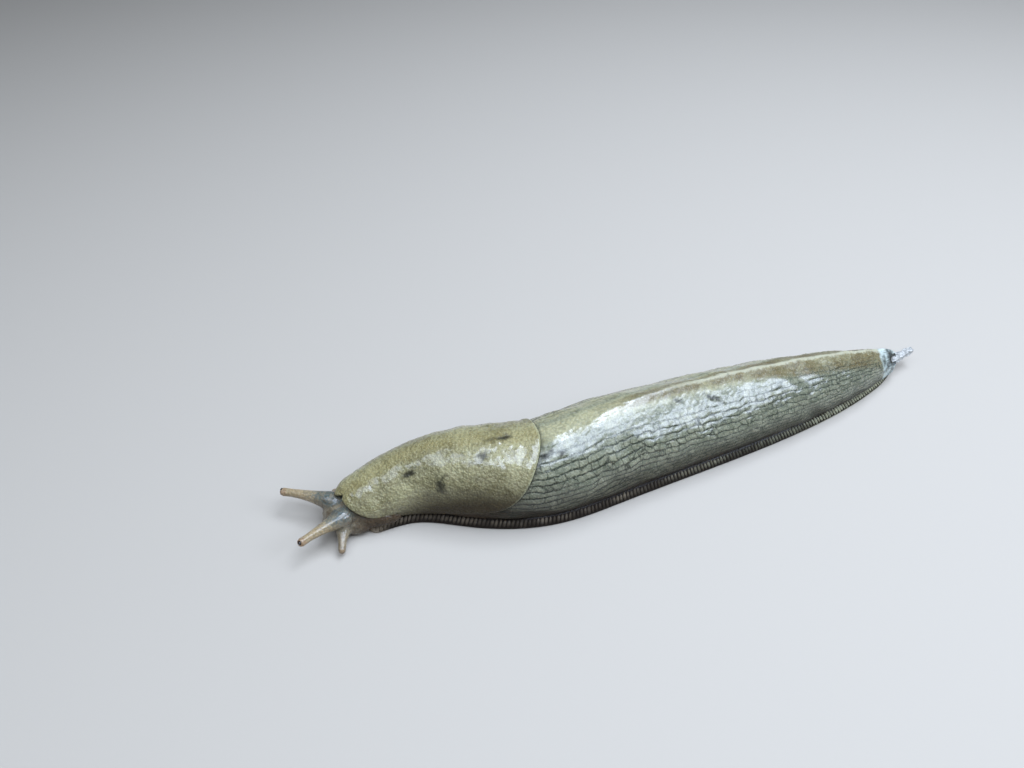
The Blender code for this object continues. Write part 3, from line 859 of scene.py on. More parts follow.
@dataclass
class Tentacle:
    """One stalk, in the frame of the turned head, in mm.

    Args:
        root: forward, to the right, up.
        tip: forward, to the right, up.
        bow: how far the middle of its axis is raised.
        radii: its radius at shares of its length.
    """

    root: Place
    tip: Place
    bow: float
    radii: tuple[tuple[float, float], ...]


EYE_STALK_RADII = (
    (0.0, 2.0), (0.18, 2.1), (0.32, 1.68), (0.5, 1.25), (0.75, 0.95), (0.88, 0.92), (0.94, 0.98),
)
FEELER_RADII = ((0.0, 1.5), (0.25, 1.6), (0.45, 1.2), (0.75, 0.86), (0.9, 0.82))


@dataclass
class Head:
    """The small soft head with lips, mouth, lobes and four tentacles, blended into one form."""

    form: BodyForm
    neck_cut: float = 0.035
    yaw: float = 10.0
    turned: float = 4.0
    squareness: float = 2.2
    rings: tuple[tuple[float, ...], ...] = (
        (-3.0, 1.9, 3.6, 3.0, 4.3, 7.0),
        (0.0, 1.72, 4.6, 2.45, 4.3, 8.3),
        (0.7, 1.58, 4.5, 2.40, 4.1, 7.9),
        (2.2, 1.25, 4.4, 1.20, 3.9, 7.4),
        (4.0, 0.91, 4.2, 0.90, 3.7, 6.9),
        (5.6, 1.09, 3.7, 1.05, 3.5, 6.4),
        (6.76, 1.39, 2.9, 1.40, 3.4, 5.8),
        (7.52, 1.68, 1.8, 2.00, 3.4, 5.0),
        (7.95, 1.86, 0.6, 2.80, 3.5, 4.2),
    )
    lips: tuple[Place, ...] = ((7.0, -0.85, 2.35), (7.0, 1.55, 2.35))
    lip_size: Place = (1.5, 1.35, 1.25)
    lobes: tuple[Place, ...] = ((1.1, -3.1, 2.3), (2.0, 3.9, 2.3))
    lobe_size: Place = (3.0, 1.5, 1.9)
    cheeks: tuple[Place, ...] = ((-3.0, -2.5, 3.4), (-3.0, 5.4, 3.4))
    cheek_size: Place = (5.6, 1.7, 1.9)
    mouth: Place = (8.9, 0.35, 2.1)
    mouth_size: Place = (1.7, 0.3, 1.05)
    tentacles: tuple[Tentacle, ...] = (
        Tentacle((2.7, -2.0, 4.9), (12.6, -7.9, 5.2), 0.5, EYE_STALK_RADII),
        Tentacle((4.2, 1.4, 5.0), (16.9, 6.9, 5.2), 0.6, EYE_STALK_RADII),
        Tentacle((3.8, -2.6, 3.1), (4.5, -8.9, 1.5), 0.2, FEELER_RADII),
        Tentacle((4.4, 2.9, 3.1), (6.0, 8.4, 1.5), 0.2, FEELER_RADII),
    )
    voxel: float = 0.2
    soften_passes: int = 16
    eye_socket: float = 0.52
    stalk_reach: float = 2.4

    def frame(self, yaw: float, forward: float = 0.0, right: float = 0.0) -> Matrix:
        """Axes that run forward, to the right and up, in mm.

        Args:
            yaw: degrees that the forward axis turns to the animal's right.
            forward: place in front of the neck's cut.
            right: place to the right of the straight axis.

        Returns:
            The matrix of that place.
        """
        angle = math.radians(yaw)
        ahead = Vector((-math.cos(angle), math.sin(angle), 0.0))
        across = Vector((math.sin(angle), math.cos(angle), 0.0))
        origin = Vector(((self.neck_cut - 0.5) * self.form.length - self.form.gap / 2 - forward, right, 0.0))
        return Matrix.Translation(origin) @ Matrix((ahead, across, (0.0, 0.0, 1.0))).transposed().to_4x4()

    def skull_ring(self, ring: Sequence[float], points: int = 48) -> list[Vector]:
        """One outline of the head, round above and squarer below.

        Args:
            ring: forward, right, half width, bottom, widest level and top.
            points: number of points.

        Returns:
            The outline's points in mm.
        """
        forward, right, width, bottom, widest, top = ring
        right_of_neck = self.form.spine(np.array([self.neck_cut]))[1][0]
        neck_yaw = math.degrees(math.asin(float(right_of_neck[0])))
        yaw = neck_yaw + (self.yaw - neck_yaw) * float(ramp(forward, 0.0, self.turned))
        place = self.frame(yaw, forward, right)
        outline = []
        for i in range(points):
            c, s = math.cos(math.tau * i / points), math.sin(math.tau * i / points)
            power = 2.0 if s > 0 else self.squareness
            fit = (abs(c) ** power + abs(s) ** power) ** (-1 / power)
            height = top - widest if s > 0 else widest - bottom
            outline.append(place @ Vector((0.0, width * c * fit, widest + height * s * fit)))
        return outline

    def axis(self, tentacle: Tentacle, share: float) -> Vector:
        """A point of a tentacle's bowed axis.

        Args:
            tentacle: its sizes.
            share: place along its length.

        Returns:
            The point in mm.
        """
        head = self.frame(self.yaw)
        root, tip = head @ Vector(tentacle.root), head @ Vector(tentacle.tip)
        return root.lerp(tip, share) + Vector((0.0, 0.0, tentacle.bow)) * (4 * share * (1 - share))

    def tentacle_rings(self, tentacle: Tentacle, count: int = 60, points: int = 28) -> list[list[Vector]]:
        """Outlines along a tentacle, close together at its round tip.

        Args:
            tentacle: its sizes.
            count: number of outlines.
            points: number of points of each.

        Returns:
            The outlines in mm.
        """
        length = (Vector(tentacle.tip) - Vector(tentacle.root)).length
        last_share, last_radius = tentacle.radii[-1]
        radius_at = smooth_line([r[0] for r in tentacle.radii], [r[1] for r in tentacle.radii])
        stop = last_share + 0.99 * last_radius / length
        rings = []
        for i in range(count):
            share = stop * math.sin(math.pi / 2 * i / (count - 1))
            beyond = max(0.0, share - last_share) * length
            radius = float(radius_at(np.array(min(share, last_share))))
            radius = math.sqrt(max(0.0, radius**2 - beyond**2)) if beyond else radius
            along = (self.axis(tentacle, share + 0.01) - self.axis(tentacle, share - 0.01)).normalized()
            side = along.cross(Vector((0.0, 0.0, 1.0))).normalized()
            up = side.cross(along)
            centre = self.axis(tentacle, share)
            turns = [math.tau * k / points for k in range(points)]
            rings.append([centre + (side * math.cos(a) + up * math.sin(a)) * radius for a in turns])
        return rings

    def build(self, eyes: Sequence[Vector]) -> SkinPatch:
        """Blends the head's forms into one soft mesh.

        Args:
            eyes: middles of the two eyes in mm.

        Returns:
            The closed patch.
        """
        bm = bmesh.new()
        add_tube(bm, [self.skull_ring(ring) for ring in self.rings])
        for tentacle in self.tentacles:
            add_tube(bm, self.tentacle_rings(tentacle))
        head = self.frame(self.yaw)
        balls = ((self.lip_size, self.lips), (self.lobe_size, self.lobes), (self.cheek_size, self.cheeks))
        for size, places in balls:
            for place in places:
                add_ball(bm, size, head @ Matrix.Translation(place))
        bmesh.ops.recalc_face_normals(bm, faces=bm.faces)
        obj = mesh_object("head_forms", bm)
        remesh = obj.modifiers.new("remesh", "REMESH")
        remesh.mode = "VOXEL"
        remesh.voxel_size = self.voxel
        apply_modifiers(obj)
        soften = obj.modifiers.new("soften", "SMOOTH")
        soften.factor, soften.iterations = 0.5, self.soften_passes
        apply_modifiers(obj)
        holes = [(self.mouth_size, head @ Matrix.Translation(self.mouth))]
        holes += [((self.eye_socket,) * 3, Matrix.Translation(eye)) for eye in eyes]
        cuts = []
        for size, place in holes:
            cutter = bmesh.new()
            add_ball(cutter, size, place)
            cuts.append(mesh_object("head_cut", cutter))
        combine(obj, cuts, "DIFFERENCE")
        keep_largest(obj)
        count = len(obj.data.vertices)
        points = np.empty(count * 3)
        obj.data.vertices.foreach_get("co", points)
        points = points.reshape(-1, 3)
        faces = [tuple(p.vertices) for p in obj.data.polygons]
        bpy.data.objects.remove(obj)
        steps = np.linspace(0, 1.04, 60)[::4]
        tip = stalk = sheen = np.zeros(count)
        for tentacle in self.tentacles:
            pale = 1.0 if tentacle.radii is EYE_STALK_RADII else 0.35
            line = np.array([self.axis(tentacle, step) for step in steps])
            distance = np.linalg.norm(points[:, None, :] - line, axis=2)
            nearest = distance.argmin(axis=1)
            pale = pale * (distance.min(axis=1) < self.stalk_reach)
            share = steps[nearest]
            # The sheen value marks the upper side of the tentacles' bases, mostly the eye stalks', where the
            # skin paints a teal reflection.
            above = ramp(points[:, 2] - line[nearest][:, 2], -0.2, 1.5)
            sheen = np.maximum(sheen, pale * above * (1 - ramp(share, 0.30, 0.72)))
            stalk = np.maximum(stalk, pale * ramp(share, 0.2, 0.5))
            tip = np.maximum(tip, pale * ramp(share, 0.84, 0.97))
        return SkinPatch(points, faces, Zone.HEAD, {"rib": stalk, "tip": tip, "rim": sheen})


@dataclass
class TailEnd:
    """The mucus pit in the tail's end, and the plug of mucus that runs out of it as a short strand."""

    form: BodyForm
    pit_size: Place = (2.4, 1.5, 1.6)
    pit_shift: Place = (-0.7, -1.3, 1.6)
    pit_level: float = 3.9
    plug_turn: float = 8.0
    plug_rise: float = 4.0
    plug_root: float = 1.3
    plug_radii: tuple[tuple[float, float], ...] = (
        (0.0, 0.4), (0.4, 0.8), (1.0, 1.15), (1.9, 1.4), (2.9, 1.5), (4.2, 1.35), (6.4, 1.15), (9.2, 0.95)
    )
    flatness: float = 0.92
    core: float = 0.86
    end_core: float = 0.6
    rings: int = 56
    ring_points: int = 30
    threads: int = 7
    thread_points: int = 26
    thread_radius: float = 0.2

    def mouth(self) -> Matrix:
        """Finds the pit's mouth.

        Returns:
            Axes there, in mm: out of the tail's end, to the right and up.
        """
        ground, right = self.form.spine(np.array([1.0]))
        out, across = Vector((right[0, 1], -right[0, 0], 0.0)), Vector(right[0])
        axes = Matrix((out, across, (0.0, 0.0, 1.0))).transposed().to_4x4()
        return Matrix.Translation(Vector(ground[0]) + Vector((0.0, 0.0, self.pit_level))) @ axes

    def pit(self) -> SkinPatch:
        """The form that is cut from the tail, an egg with folds, painted darker towards its end as shade in
        the pit.

        Returns:
            The closed patch.
        """
        turns = np.linspace(0, math.tau, 48, endpoint=False)
        turns, levels = np.meshgrid(turns, np.linspace(0.03, math.pi - 0.03, 26))
        x, y, z = np.cos(levels), np.sin(levels) * np.cos(turns), np.sin(levels) * np.sin(turns)
        folds = 1 + 0.10 * np.cos(7 * turns + 2.0 * x) * np.sin(levels) + 0.05 * ripple(61, 1.1, x, y, z)
        points = np.stack([x, y * folds, z * folds], axis=-1) * self.pit_size + self.pit_shift
        place = np.array(self.mouth())
        points = points.reshape(-1, 3) @ place[:3, :3].T + place[:3, 3]
        whole = np.ones(len(points))
        # The pit's dark mark is painted shade, deepest at its inner end.
        values = {"share": whole, "tip": whole, "mark": 0.88 * (1 - ramp(x.ravel(), 0.5, 0.95))}
        return SkinPatch(points, tube_faces(*x.shape), Zone.BACK, values)

    def strand_point(self, along: float, angle: float, part: float) -> Vector:
        """A point of the plug.

        Args:
            along: place along its axis in mm.
            angle: place round it.
            part: 0 on its axis and 1 on its outside.

        Returns:
            The point in mm.
        """
        radius = float(smooth_line(*zip(*self.plug_radii))(np.array(along))) * part
        radius *= 1 + 0.10 * math.sin(2 * angle + 1.7 * along) + 0.06 * math.sin(3 * angle - 2.9 * along)
        turn = Matrix.Rotation(math.radians(self.plug_turn), 4, "Z")
        rise = Matrix.Rotation(math.radians(-self.plug_rise), 4, "Y")
        place = self.mouth()
        axes = place.to_3x3().to_4x4()
        across, up = self.flatness * radius * math.cos(angle), radius * math.sin(angle)
        local = Vector((along - self.plug_root, across, up))
        return place.translation + turn @ rise @ axes @ local

    def plug(self) -> BMesh:
        """Builds the plug's lumpy body.

        Returns:
            Its mesh, in metres.
        """
        bm = bmesh.new()
        last, rings = self.rings - 1, []
        turns = [math.tau * k / self.ring_points for k in range(self.ring_points)]
        for i in range(self.rings):
            along, part = self.plug_radii[-1][0] * i / last, self.core if 0 < i < last else self.end_core
            rings.append([self.strand_point(along, turn, part) * MM for turn in turns])
        add_tube(bm, rings)
        bmesh.ops.recalc_face_normals(bm, faces=bm.faces)
        return bm

    def grow_threads(self, material: Material) -> Mesh:
        """Turns lines on the plug's outside into threads of mucus with a node tree.

        Args:
            material: the mucus.

        Returns:
            A mesh with every thread.
        """
        rng = np.random.default_rng(8)
        length = self.plug_radii[-1][0]
        lines, steps = [], np.linspace(0, 1, self.thread_points)
        for number in range(self.threads):
            angle = math.tau * (number + rng.uniform(-0.3, 0.3)) / self.threads
            first, twist = rng.uniform(0.9, 1.6), rng.uniform(-0.4, 0.4)
            reach = length - 0.05 - first
            line = [self.strand_point(first + reach * q, angle + twist * q, self.core) for q in steps]
            lines.append([point * MM for point in line])
        tree = GrowthTree("mucus_threads", {
            "Radius": ("NodeSocketFloat", self.thread_radius * MM),
            "Seed": ("NodeSocketInt", 3),
            "Mucus": ("NodeSocketMaterial", material),
        })
        source = tree.add("NodeGroupInput")
        curve = tree.add("GeometryNodeMeshToCurve", {"Mesh": source.outputs["Geometry"]})
        sizes = {"Min": 0.6, "Max": 1.2, "Seed": source.outputs["Seed"]}
        uneven = tree.add("FunctionNodeRandomValue", sizes, data_type="FLOAT")
        profile = {"Resolution": 7, "Radius": source.outputs["Radius"]}
        around = tree.add("GeometryNodeCurvePrimitiveCircle", profile)
        tube = tree.add("GeometryNodeCurveToMesh", {
            "Curve": curve.outputs[0],
            "Profile Curve": around.outputs[0],
            "Scale": next(o for o in uneven.outputs if o.enabled),
            "Fill Caps": True,
        })
        return tree.grow(tube, source.outputs["Mucus"], line_object("thread_lines", lines))

    def build(self) -> Object:
        """Builds the plug with its threads and hides the solid it stands for.

        Returns:
            The plug.
        """
        material = Mucus().material()
        bm = self.plug()
        bm.from_mesh(self.grow_threads(material))
        plug = mesh_object("mucus_strand", bm)
        plug.data.shade_smooth()
        plug.data.materials.append(material)
        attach(plug, "root")
        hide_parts("mucus_plug")
        return plug


def mesh_object(name: str, bm: BMesh) -> Object:
    """Puts a mesh into the scene.

    Args:
        name: the object's name.
        bm: the mesh, which is used up.

    Returns:
        The new object.
    """
    mesh = bpy.data.meshes.new(name)
    bm.to_mesh(mesh)
    bm.free()
    obj = bpy.data.objects.new(name, mesh)
    bpy.context.scene.collection.objects.link(obj)
    return obj


def line_object(name: str, lines: Sequence[Sequence[Vector | Array]]) -> Object:
    """Puts lines into the scene as an object of edges.

    Args:
        name: the object's name.
        lines: the points of each line, in metres.

    Returns:
        The new object.
    """
    bm = bmesh.new()
    for line in lines:
        points = [bm.verts.new(point) for point in line]
        for pair in zip(points, points[1:]):
            bm.edges.new(pair)
    return mesh_object(name, bm)


def add_tube(bm: BMesh, rings: Sequence[Sequence[Vector]]) -> None:
    """Adds a closed tube to a mesh.

    Args:
        bm: the mesh.
        rings: its outlines, one after the other, with as many points each.
    """
    points = [bm.verts.new(point) for ring in rings for point in ring]
    for face in tube_faces(len(rings), len(rings[0])):
        bm.faces.new([points[i] for i in face])


def add_ball(bm: BMesh, size: Place, place: Matrix) -> None:
    """Adds an egg-shaped form to a mesh.

    Args:
        bm: the mesh.
        size: its half lengths.
        place: its middle and axes.
    """
    ball = bmesh.ops.create_uvsphere(bm, u_segments=32, v_segments=20, radius=1.0)["verts"]
    bmesh.ops.scale(bm, vec=size, verts=ball)
    bmesh.ops.transform(bm, matrix=place, verts=ball)


def apply_modifiers(obj: Object) -> None:
    """Turns modifiers into plain mesh.

    Args:
        obj: the object, which then has none.
    """
    graph = bpy.context.evaluated_depsgraph_get()
    mesh = bpy.data.meshes.new_from_object(obj.evaluated_get(graph), depsgraph=graph)
    obj.modifiers.clear()
    obj.data = mesh


def combine(obj: Object, others: Sequence[Object], operation: str) -> None:
    """Joins closed objects to another one, or cuts them from it, and removes them.

    Args:
        obj: the object that stays.
        others: the objects to join or cut.
        operation: UNION or DIFFERENCE.
    """
    for other in others:
        modifier = obj.modifiers.new("combine", "BOOLEAN")
        modifier.operation, modifier.object, modifier.solver = operation, other, "MANIFOLD"
    apply_modifiers(obj)
    for other in others:
        bpy.data.objects.remove(other)


def keep_largest(obj: Object) -> None:
    """Removes loose crumbs that a cut leaves behind.

    Args:
        obj: the mesh object that was cut.
    """
    bm = bmesh.new()
    bm.from_mesh(obj.data)
    left, pieces = set(bm.verts), []
    while left:
        piece, edge = set(), [left.pop()]
        while edge:
            vert = edge.pop()
            piece.add(vert)
            found = {link.other_vert(vert) for link in vert.link_edges} & left
            left -= found
            edge += found
        pieces.append(piece)
    pieces.sort(key=len)
    bmesh.ops.delete(bm, geom=[vert for piece in pieces[:-1] for vert in piece], context="VERTS")
    bm.to_mesh(obj.data)
    bm.free()


def clean(bm: BMesh, sliver: float = 0.005) -> None:
    """Takes out the slivers and loose edges that joining and cutting leave.

    Args:
        bm: the mesh, in metres.
        sliver: the length in mm up to which edges are taken out.
    """
    bmesh.ops.triangulate(bm, faces=[face for face in bm.faces if len(face.verts) > 4])
    bmesh.ops.dissolve_degenerate(bm, dist=sliver * MM, edges=bm.edges)
    bmesh.ops.delete(bm, geom=[edge for edge in bm.edges if not edge.link_faces], context="EDGES")


class NodeTree:
    """A node tree with one call to add a node, its settings and its links."""

    def __init__(self, tree: bpy.types.NodeTree) -> None:
        """Keeps the tree and starts its layout."""
        self.tree = tree
        self.count = 0

    def fill(self, node: Node, inputs: dict) -> None:
        """Sets or links a node's sockets.

        Args:
            node: the node.
            inputs: a number, a hex colour or another node's output for each socket, by its name or number.
        """
        for name, value in inputs.items():
            named = (socket for socket in node.inputs if socket.name == name and socket.enabled)
            socket = node.inputs[name] if isinstance(name, int) else next(named)
            value = getattr(value, "socket", value)
            if socket.type == "RGBA" and isinstance(value, str):
                value = linear(value)
            if isinstance(value, NodeSocket):
                self.tree.links.new(value, socket)
            else:
                socket.default_value = value

    def add(self, kind: str, inputs: dict | None = None, **settings: object) -> Node:
        """Adds a node.

        Args:
            kind: the node's type name.
            inputs: what goes into its sockets, as fill takes it.
            settings: the node's own properties.

        Returns:
            The node.
        """
        node = self.tree.nodes.new(kind)
        node.location = (180 * (self.count % 12) - 2400, -260 * (self.count // 12))
        self.count += 1
        for name, value in settings.items():
            setattr(node, name, value)
        self.fill(node, inputs or {})
        return node


class GrowthTree(NodeTree):
    """A Geometry Nodes tree that grows a mesh along lines."""

    def __init__(self, name: str, inputs: dict[str, tuple[str, object]]) -> None:
        """Starts the tree.

        Args:
            name: the tree's name.
            inputs: socket type and value of each named input.
        """
        super().__init__(bpy.data.node_groups.new(name, "GeometryNodeTree"))
        for way in ("INPUT", "OUTPUT"):
            self.tree.interface.new_socket("Geometry", in_out=way, socket_type="NodeSocketGeometry")
        self.values = {}
        for title, (kind, value) in inputs.items():
            socket = self.tree.interface.new_socket(title, in_out="INPUT", socket_type=kind)
            self.values[socket.identifier] = value

    def grow(self, last: Node, material: NodeSocket, lines: Object) -> Mesh:
        """Ends the tree, runs it on lines and removes them.

        Args:
            last: the node whose geometry is the result.
            material: the input that brings its material.
            lines: the object that the tree starts from.

        Returns:
            The result as a plain mesh.
        """
        real = self.add("GeometryNodeRealizeInstances", {"Geometry": last.outputs[0]})
        smooth = self.add("GeometryNodeSetShadeSmooth", {"Geometry": real.outputs[0], "Shade Smooth": True})
        dressed = self.add("GeometryNodeSetMaterial", {"Geometry": smooth.outputs[0], "Material": material})
        self.add("NodeGroupOutput", {"Geometry": dressed.outputs[0]})
        modifier = lines.modifiers.new(self.tree.name, "NODES")
        modifier.node_group = self.tree
        for identifier, value in self.values.items():
            modifier[identifier] = value
        apply_modifiers(lines)
        mesh = lines.data
        bpy.data.objects.remove(lines)
        return mesh


class Kind(Enum):
    """The kinds of node that the materials are made of.

    Each is a node's type, the output that is read, the inputs that a call fills in their order, and settings.
    """

    PLACE = "ShaderNodeTexCoord", "Object", (), {}
    ALONG = "ShaderNodeSeparateXYZ", "X", ("Vector",), {}
    UP = "ShaderNodeSeparateXYZ", "Z", ("Vector",), {}
    OWN = "ShaderNodeAttribute", "Fac", (), {}
    FLAT = "ShaderNodeCombineXYZ", 0, ("X", "Y"), {}
    NOISE = "ShaderNodeTexNoise", "Fac", ("Vector", "Scale", "Detail", "Roughness"), {}
    FLAT_NOISE = "ShaderNodeTexNoise", "Fac", ("Vector", "Scale", "Detail"), {"noise_dimensions": "2D"}
    GRAINS = "ShaderNodeTexVoronoi", "Distance", ("Vector", "Scale"), {"feature": "SMOOTH_F1"}
    FLAT_CRACKS = (
        "ShaderNodeTexVoronoi", "Distance", ("Vector", "Scale"),
        {"feature": "DISTANCE_TO_EDGE", "voronoi_dimensions": "2D"},
    )
    ROW_KEY = "ShaderNodeTexWhiteNoise", "Value", ("W",), {"noise_dimensions": "1D"}
    CELL_KEY = "ShaderNodeTexWhiteNoise", "Value", ("Vector",), {"noise_dimensions": "2D"}
    STEP = (
        "ShaderNodeMapRange", "Result", ("Value", "From Min", "From Max"),
        {"interpolation_type": "SMOOTHSTEP"},
    )
    BLEND = "ShaderNodeMix", 2, (0, 6, 7), {"data_type": "RGBA"}
    SUM = "ShaderNodeMath", 0, (0, 1), {"operation": "ADD"}
    DIFFERENCE = "ShaderNodeMath", 0, (0, 1), {"operation": "SUBTRACT"}
    PRODUCT = "ShaderNodeMath", 0, (0, 1), {"operation": "MULTIPLY"}
    QUOTIENT = "ShaderNodeMath", 0, (0, 1), {"operation": "DIVIDE"}
    LEAST = "ShaderNodeMath", 0, (0, 1), {"operation": "MINIMUM"}
    MOST = "ShaderNodeMath", 0, (0, 1), {"operation": "MAXIMUM"}
    SOFT_LEAST = "ShaderNodeMath", 0, (0, 1, 2), {"operation": "SMOOTH_MIN"}
    SIZE = "ShaderNodeMath", 0, (0,), {"operation": "ABSOLUTE"}
    FLOOR = "ShaderNodeMath", 0, (0,), {"operation": "FLOOR"}
    PART = "ShaderNodeMath", 0, (0,), {"operation": "FRACT"}


class Value:
    """A number, a colour or a place that varies over a surface. Each function of it adds a node."""

    def __init__(self, nodes: Surface, socket: NodeSocket) -> None:
        """Keeps the tree and the output that gives the value."""
        self.nodes, self.socket = nodes, socket

    def to(self, kind: Kind, *others: Value | float | str) -> Value:
        """What a node of this kind makes of the value and of what goes into its next inputs."""
        return self.nodes.value(kind, self, *others)

    def __add__(self, other: Value | float) -> Value:
        """The sum."""
        return self.to(Kind.SUM, other)

    def __sub__(self, other: Value | float) -> Value:
        """The difference."""
        return self.to(Kind.DIFFERENCE, other)

    def __mul__(self, other: Value | float) -> Value:
        """The product."""
        return self.to(Kind.PRODUCT, other)

    def __truediv__(self, other: Value | float) -> Value:
        """The quotient."""
        return self.to(Kind.QUOTIENT, other)

    def __and__(self, other: Value | float) -> Value:
        """The smaller of the two."""
        return self.to(Kind.LEAST, other)

    def __or__(self, other: Value | float) -> Value:
        """The larger of the two."""
        return self.to(Kind.MOST, other)


def per_mm(size: float) -> float:
    """The scale of a pattern whose lumps or grains have this size in mm."""
    return 1 / (size * MM)


class Surface(NodeTree):
    """The node tree of a material, with the colour that is painted on it so far."""

    def __init__(self, name: str) -> None:
        """Starts the material.

        Args:
            name: the material's name.
        """
        self.material = bpy.data.materials.new(name)
        self.material.use_nodes = True
        super().__init__(self.material.node_tree)
        self.shader = self.tree.nodes["Principled BSDF"]

    @cached_property
    def place(self) -> Value:
        """Places on the object, in metres."""
        return self.value(Kind.PLACE)

    def value(self, kind: Kind, *inputs: Value | float | str, **settings: object) -> Value:
        """Adds a node and reads it.

        Args:
            kind: the kind of node.
            inputs: what goes into its inputs, in the kind's order. Those left out keep their defaults.
            settings: more of the node's own properties.

        Returns:
            What the node gives.
        """
        name, output, sockets, fixed = kind.value
        return Value(self, self.add(name, dict(zip(sockets, inputs)), **fixed, **settings).outputs[output])

    def own(self, *names: str) -> list[Value]:
        """The skin's own values of these names."""
        return [self.value(Kind.OWN, attribute_name=name) for name in names]

    def paint(self, part: Value, colour: Value | str) -> None:
        """Blends a colour over what is there, as far as the part says, from 0 to 1."""
        self.colour = part.to(Kind.BLEND, self.colour, colour)

    def finish(self, height: Value, inputs: dict) -> Material:
        """Sets the shader.

        Args:
            height: the fine relief in mm.
            inputs: what goes into its other sockets.

        Returns:
            The material.
        """
        bump = self.add("ShaderNodeBump", {"Height": height, "Distance": MM, "Strength": 1.0})
        self.fill(self.shader, {"Base Color": self.colour, "Normal": bump.outputs[0], **inputs})
        return self.material


def linear(code: str) -> tuple[float, float, float, float]:
    """A linear colour from an sRGB hex code."""
    channels = [int(code[i : i + 2], 16) / 255 for i in (1, 3, 5)]
    return (*[c / 12.92 if c <= 0.04045 else ((c + 0.055) / 1.055) ** 2.4 for c in channels], 1.0)


@dataclass(frozen=True)
class WetFlesh:
    """What every skin of the slug shares: soft flesh that lets light in, under a film of mucus.

    Args:
        roughness: of the skin below the film.
        specular: how much the skin below the film mirrors.
        film: how much mucus covers it.
        film_roughness: of the film.
        glow: share of the light that goes through the flesh.
        glow_depth: how deep it goes, in mm.
        dry_film: how much mucus covers it where it is dry.
    """

    roughness: float = 0.48
    specular: float = 0.22
    film: float = 0.85
    film_roughness: float = 0.19
    glow: float = 0.18
    glow_depth: float = 0.7
    dry_film: float = 0.03

    def finish(self, skin: Surface, height: Value, dry: Value | float = 0.0) -> Material:
        """Sets the shader.

        Args:
            skin: the skin, painted.
            height: the fine relief in mm.
            dry: where the film of mucus is thin, from 0 to 1.

        Returns:
            The material.
        """
        return skin.finish(height, {
            "Roughness": self.roughness,
            "IOR": 1.45,
            "Specular IOR Level": self.specular,
            "Coat Weight": dry * (self.dry_film - self.film) + self.film,
            "Coat Roughness": self.film_roughness,
            "Coat IOR": 1.6,
            "Subsurface Weight": self.glow,
            "Subsurface Radius": (1.0, 0.7, 0.45),
            "Subsurface Scale": self.glow_depth * MM,
        })


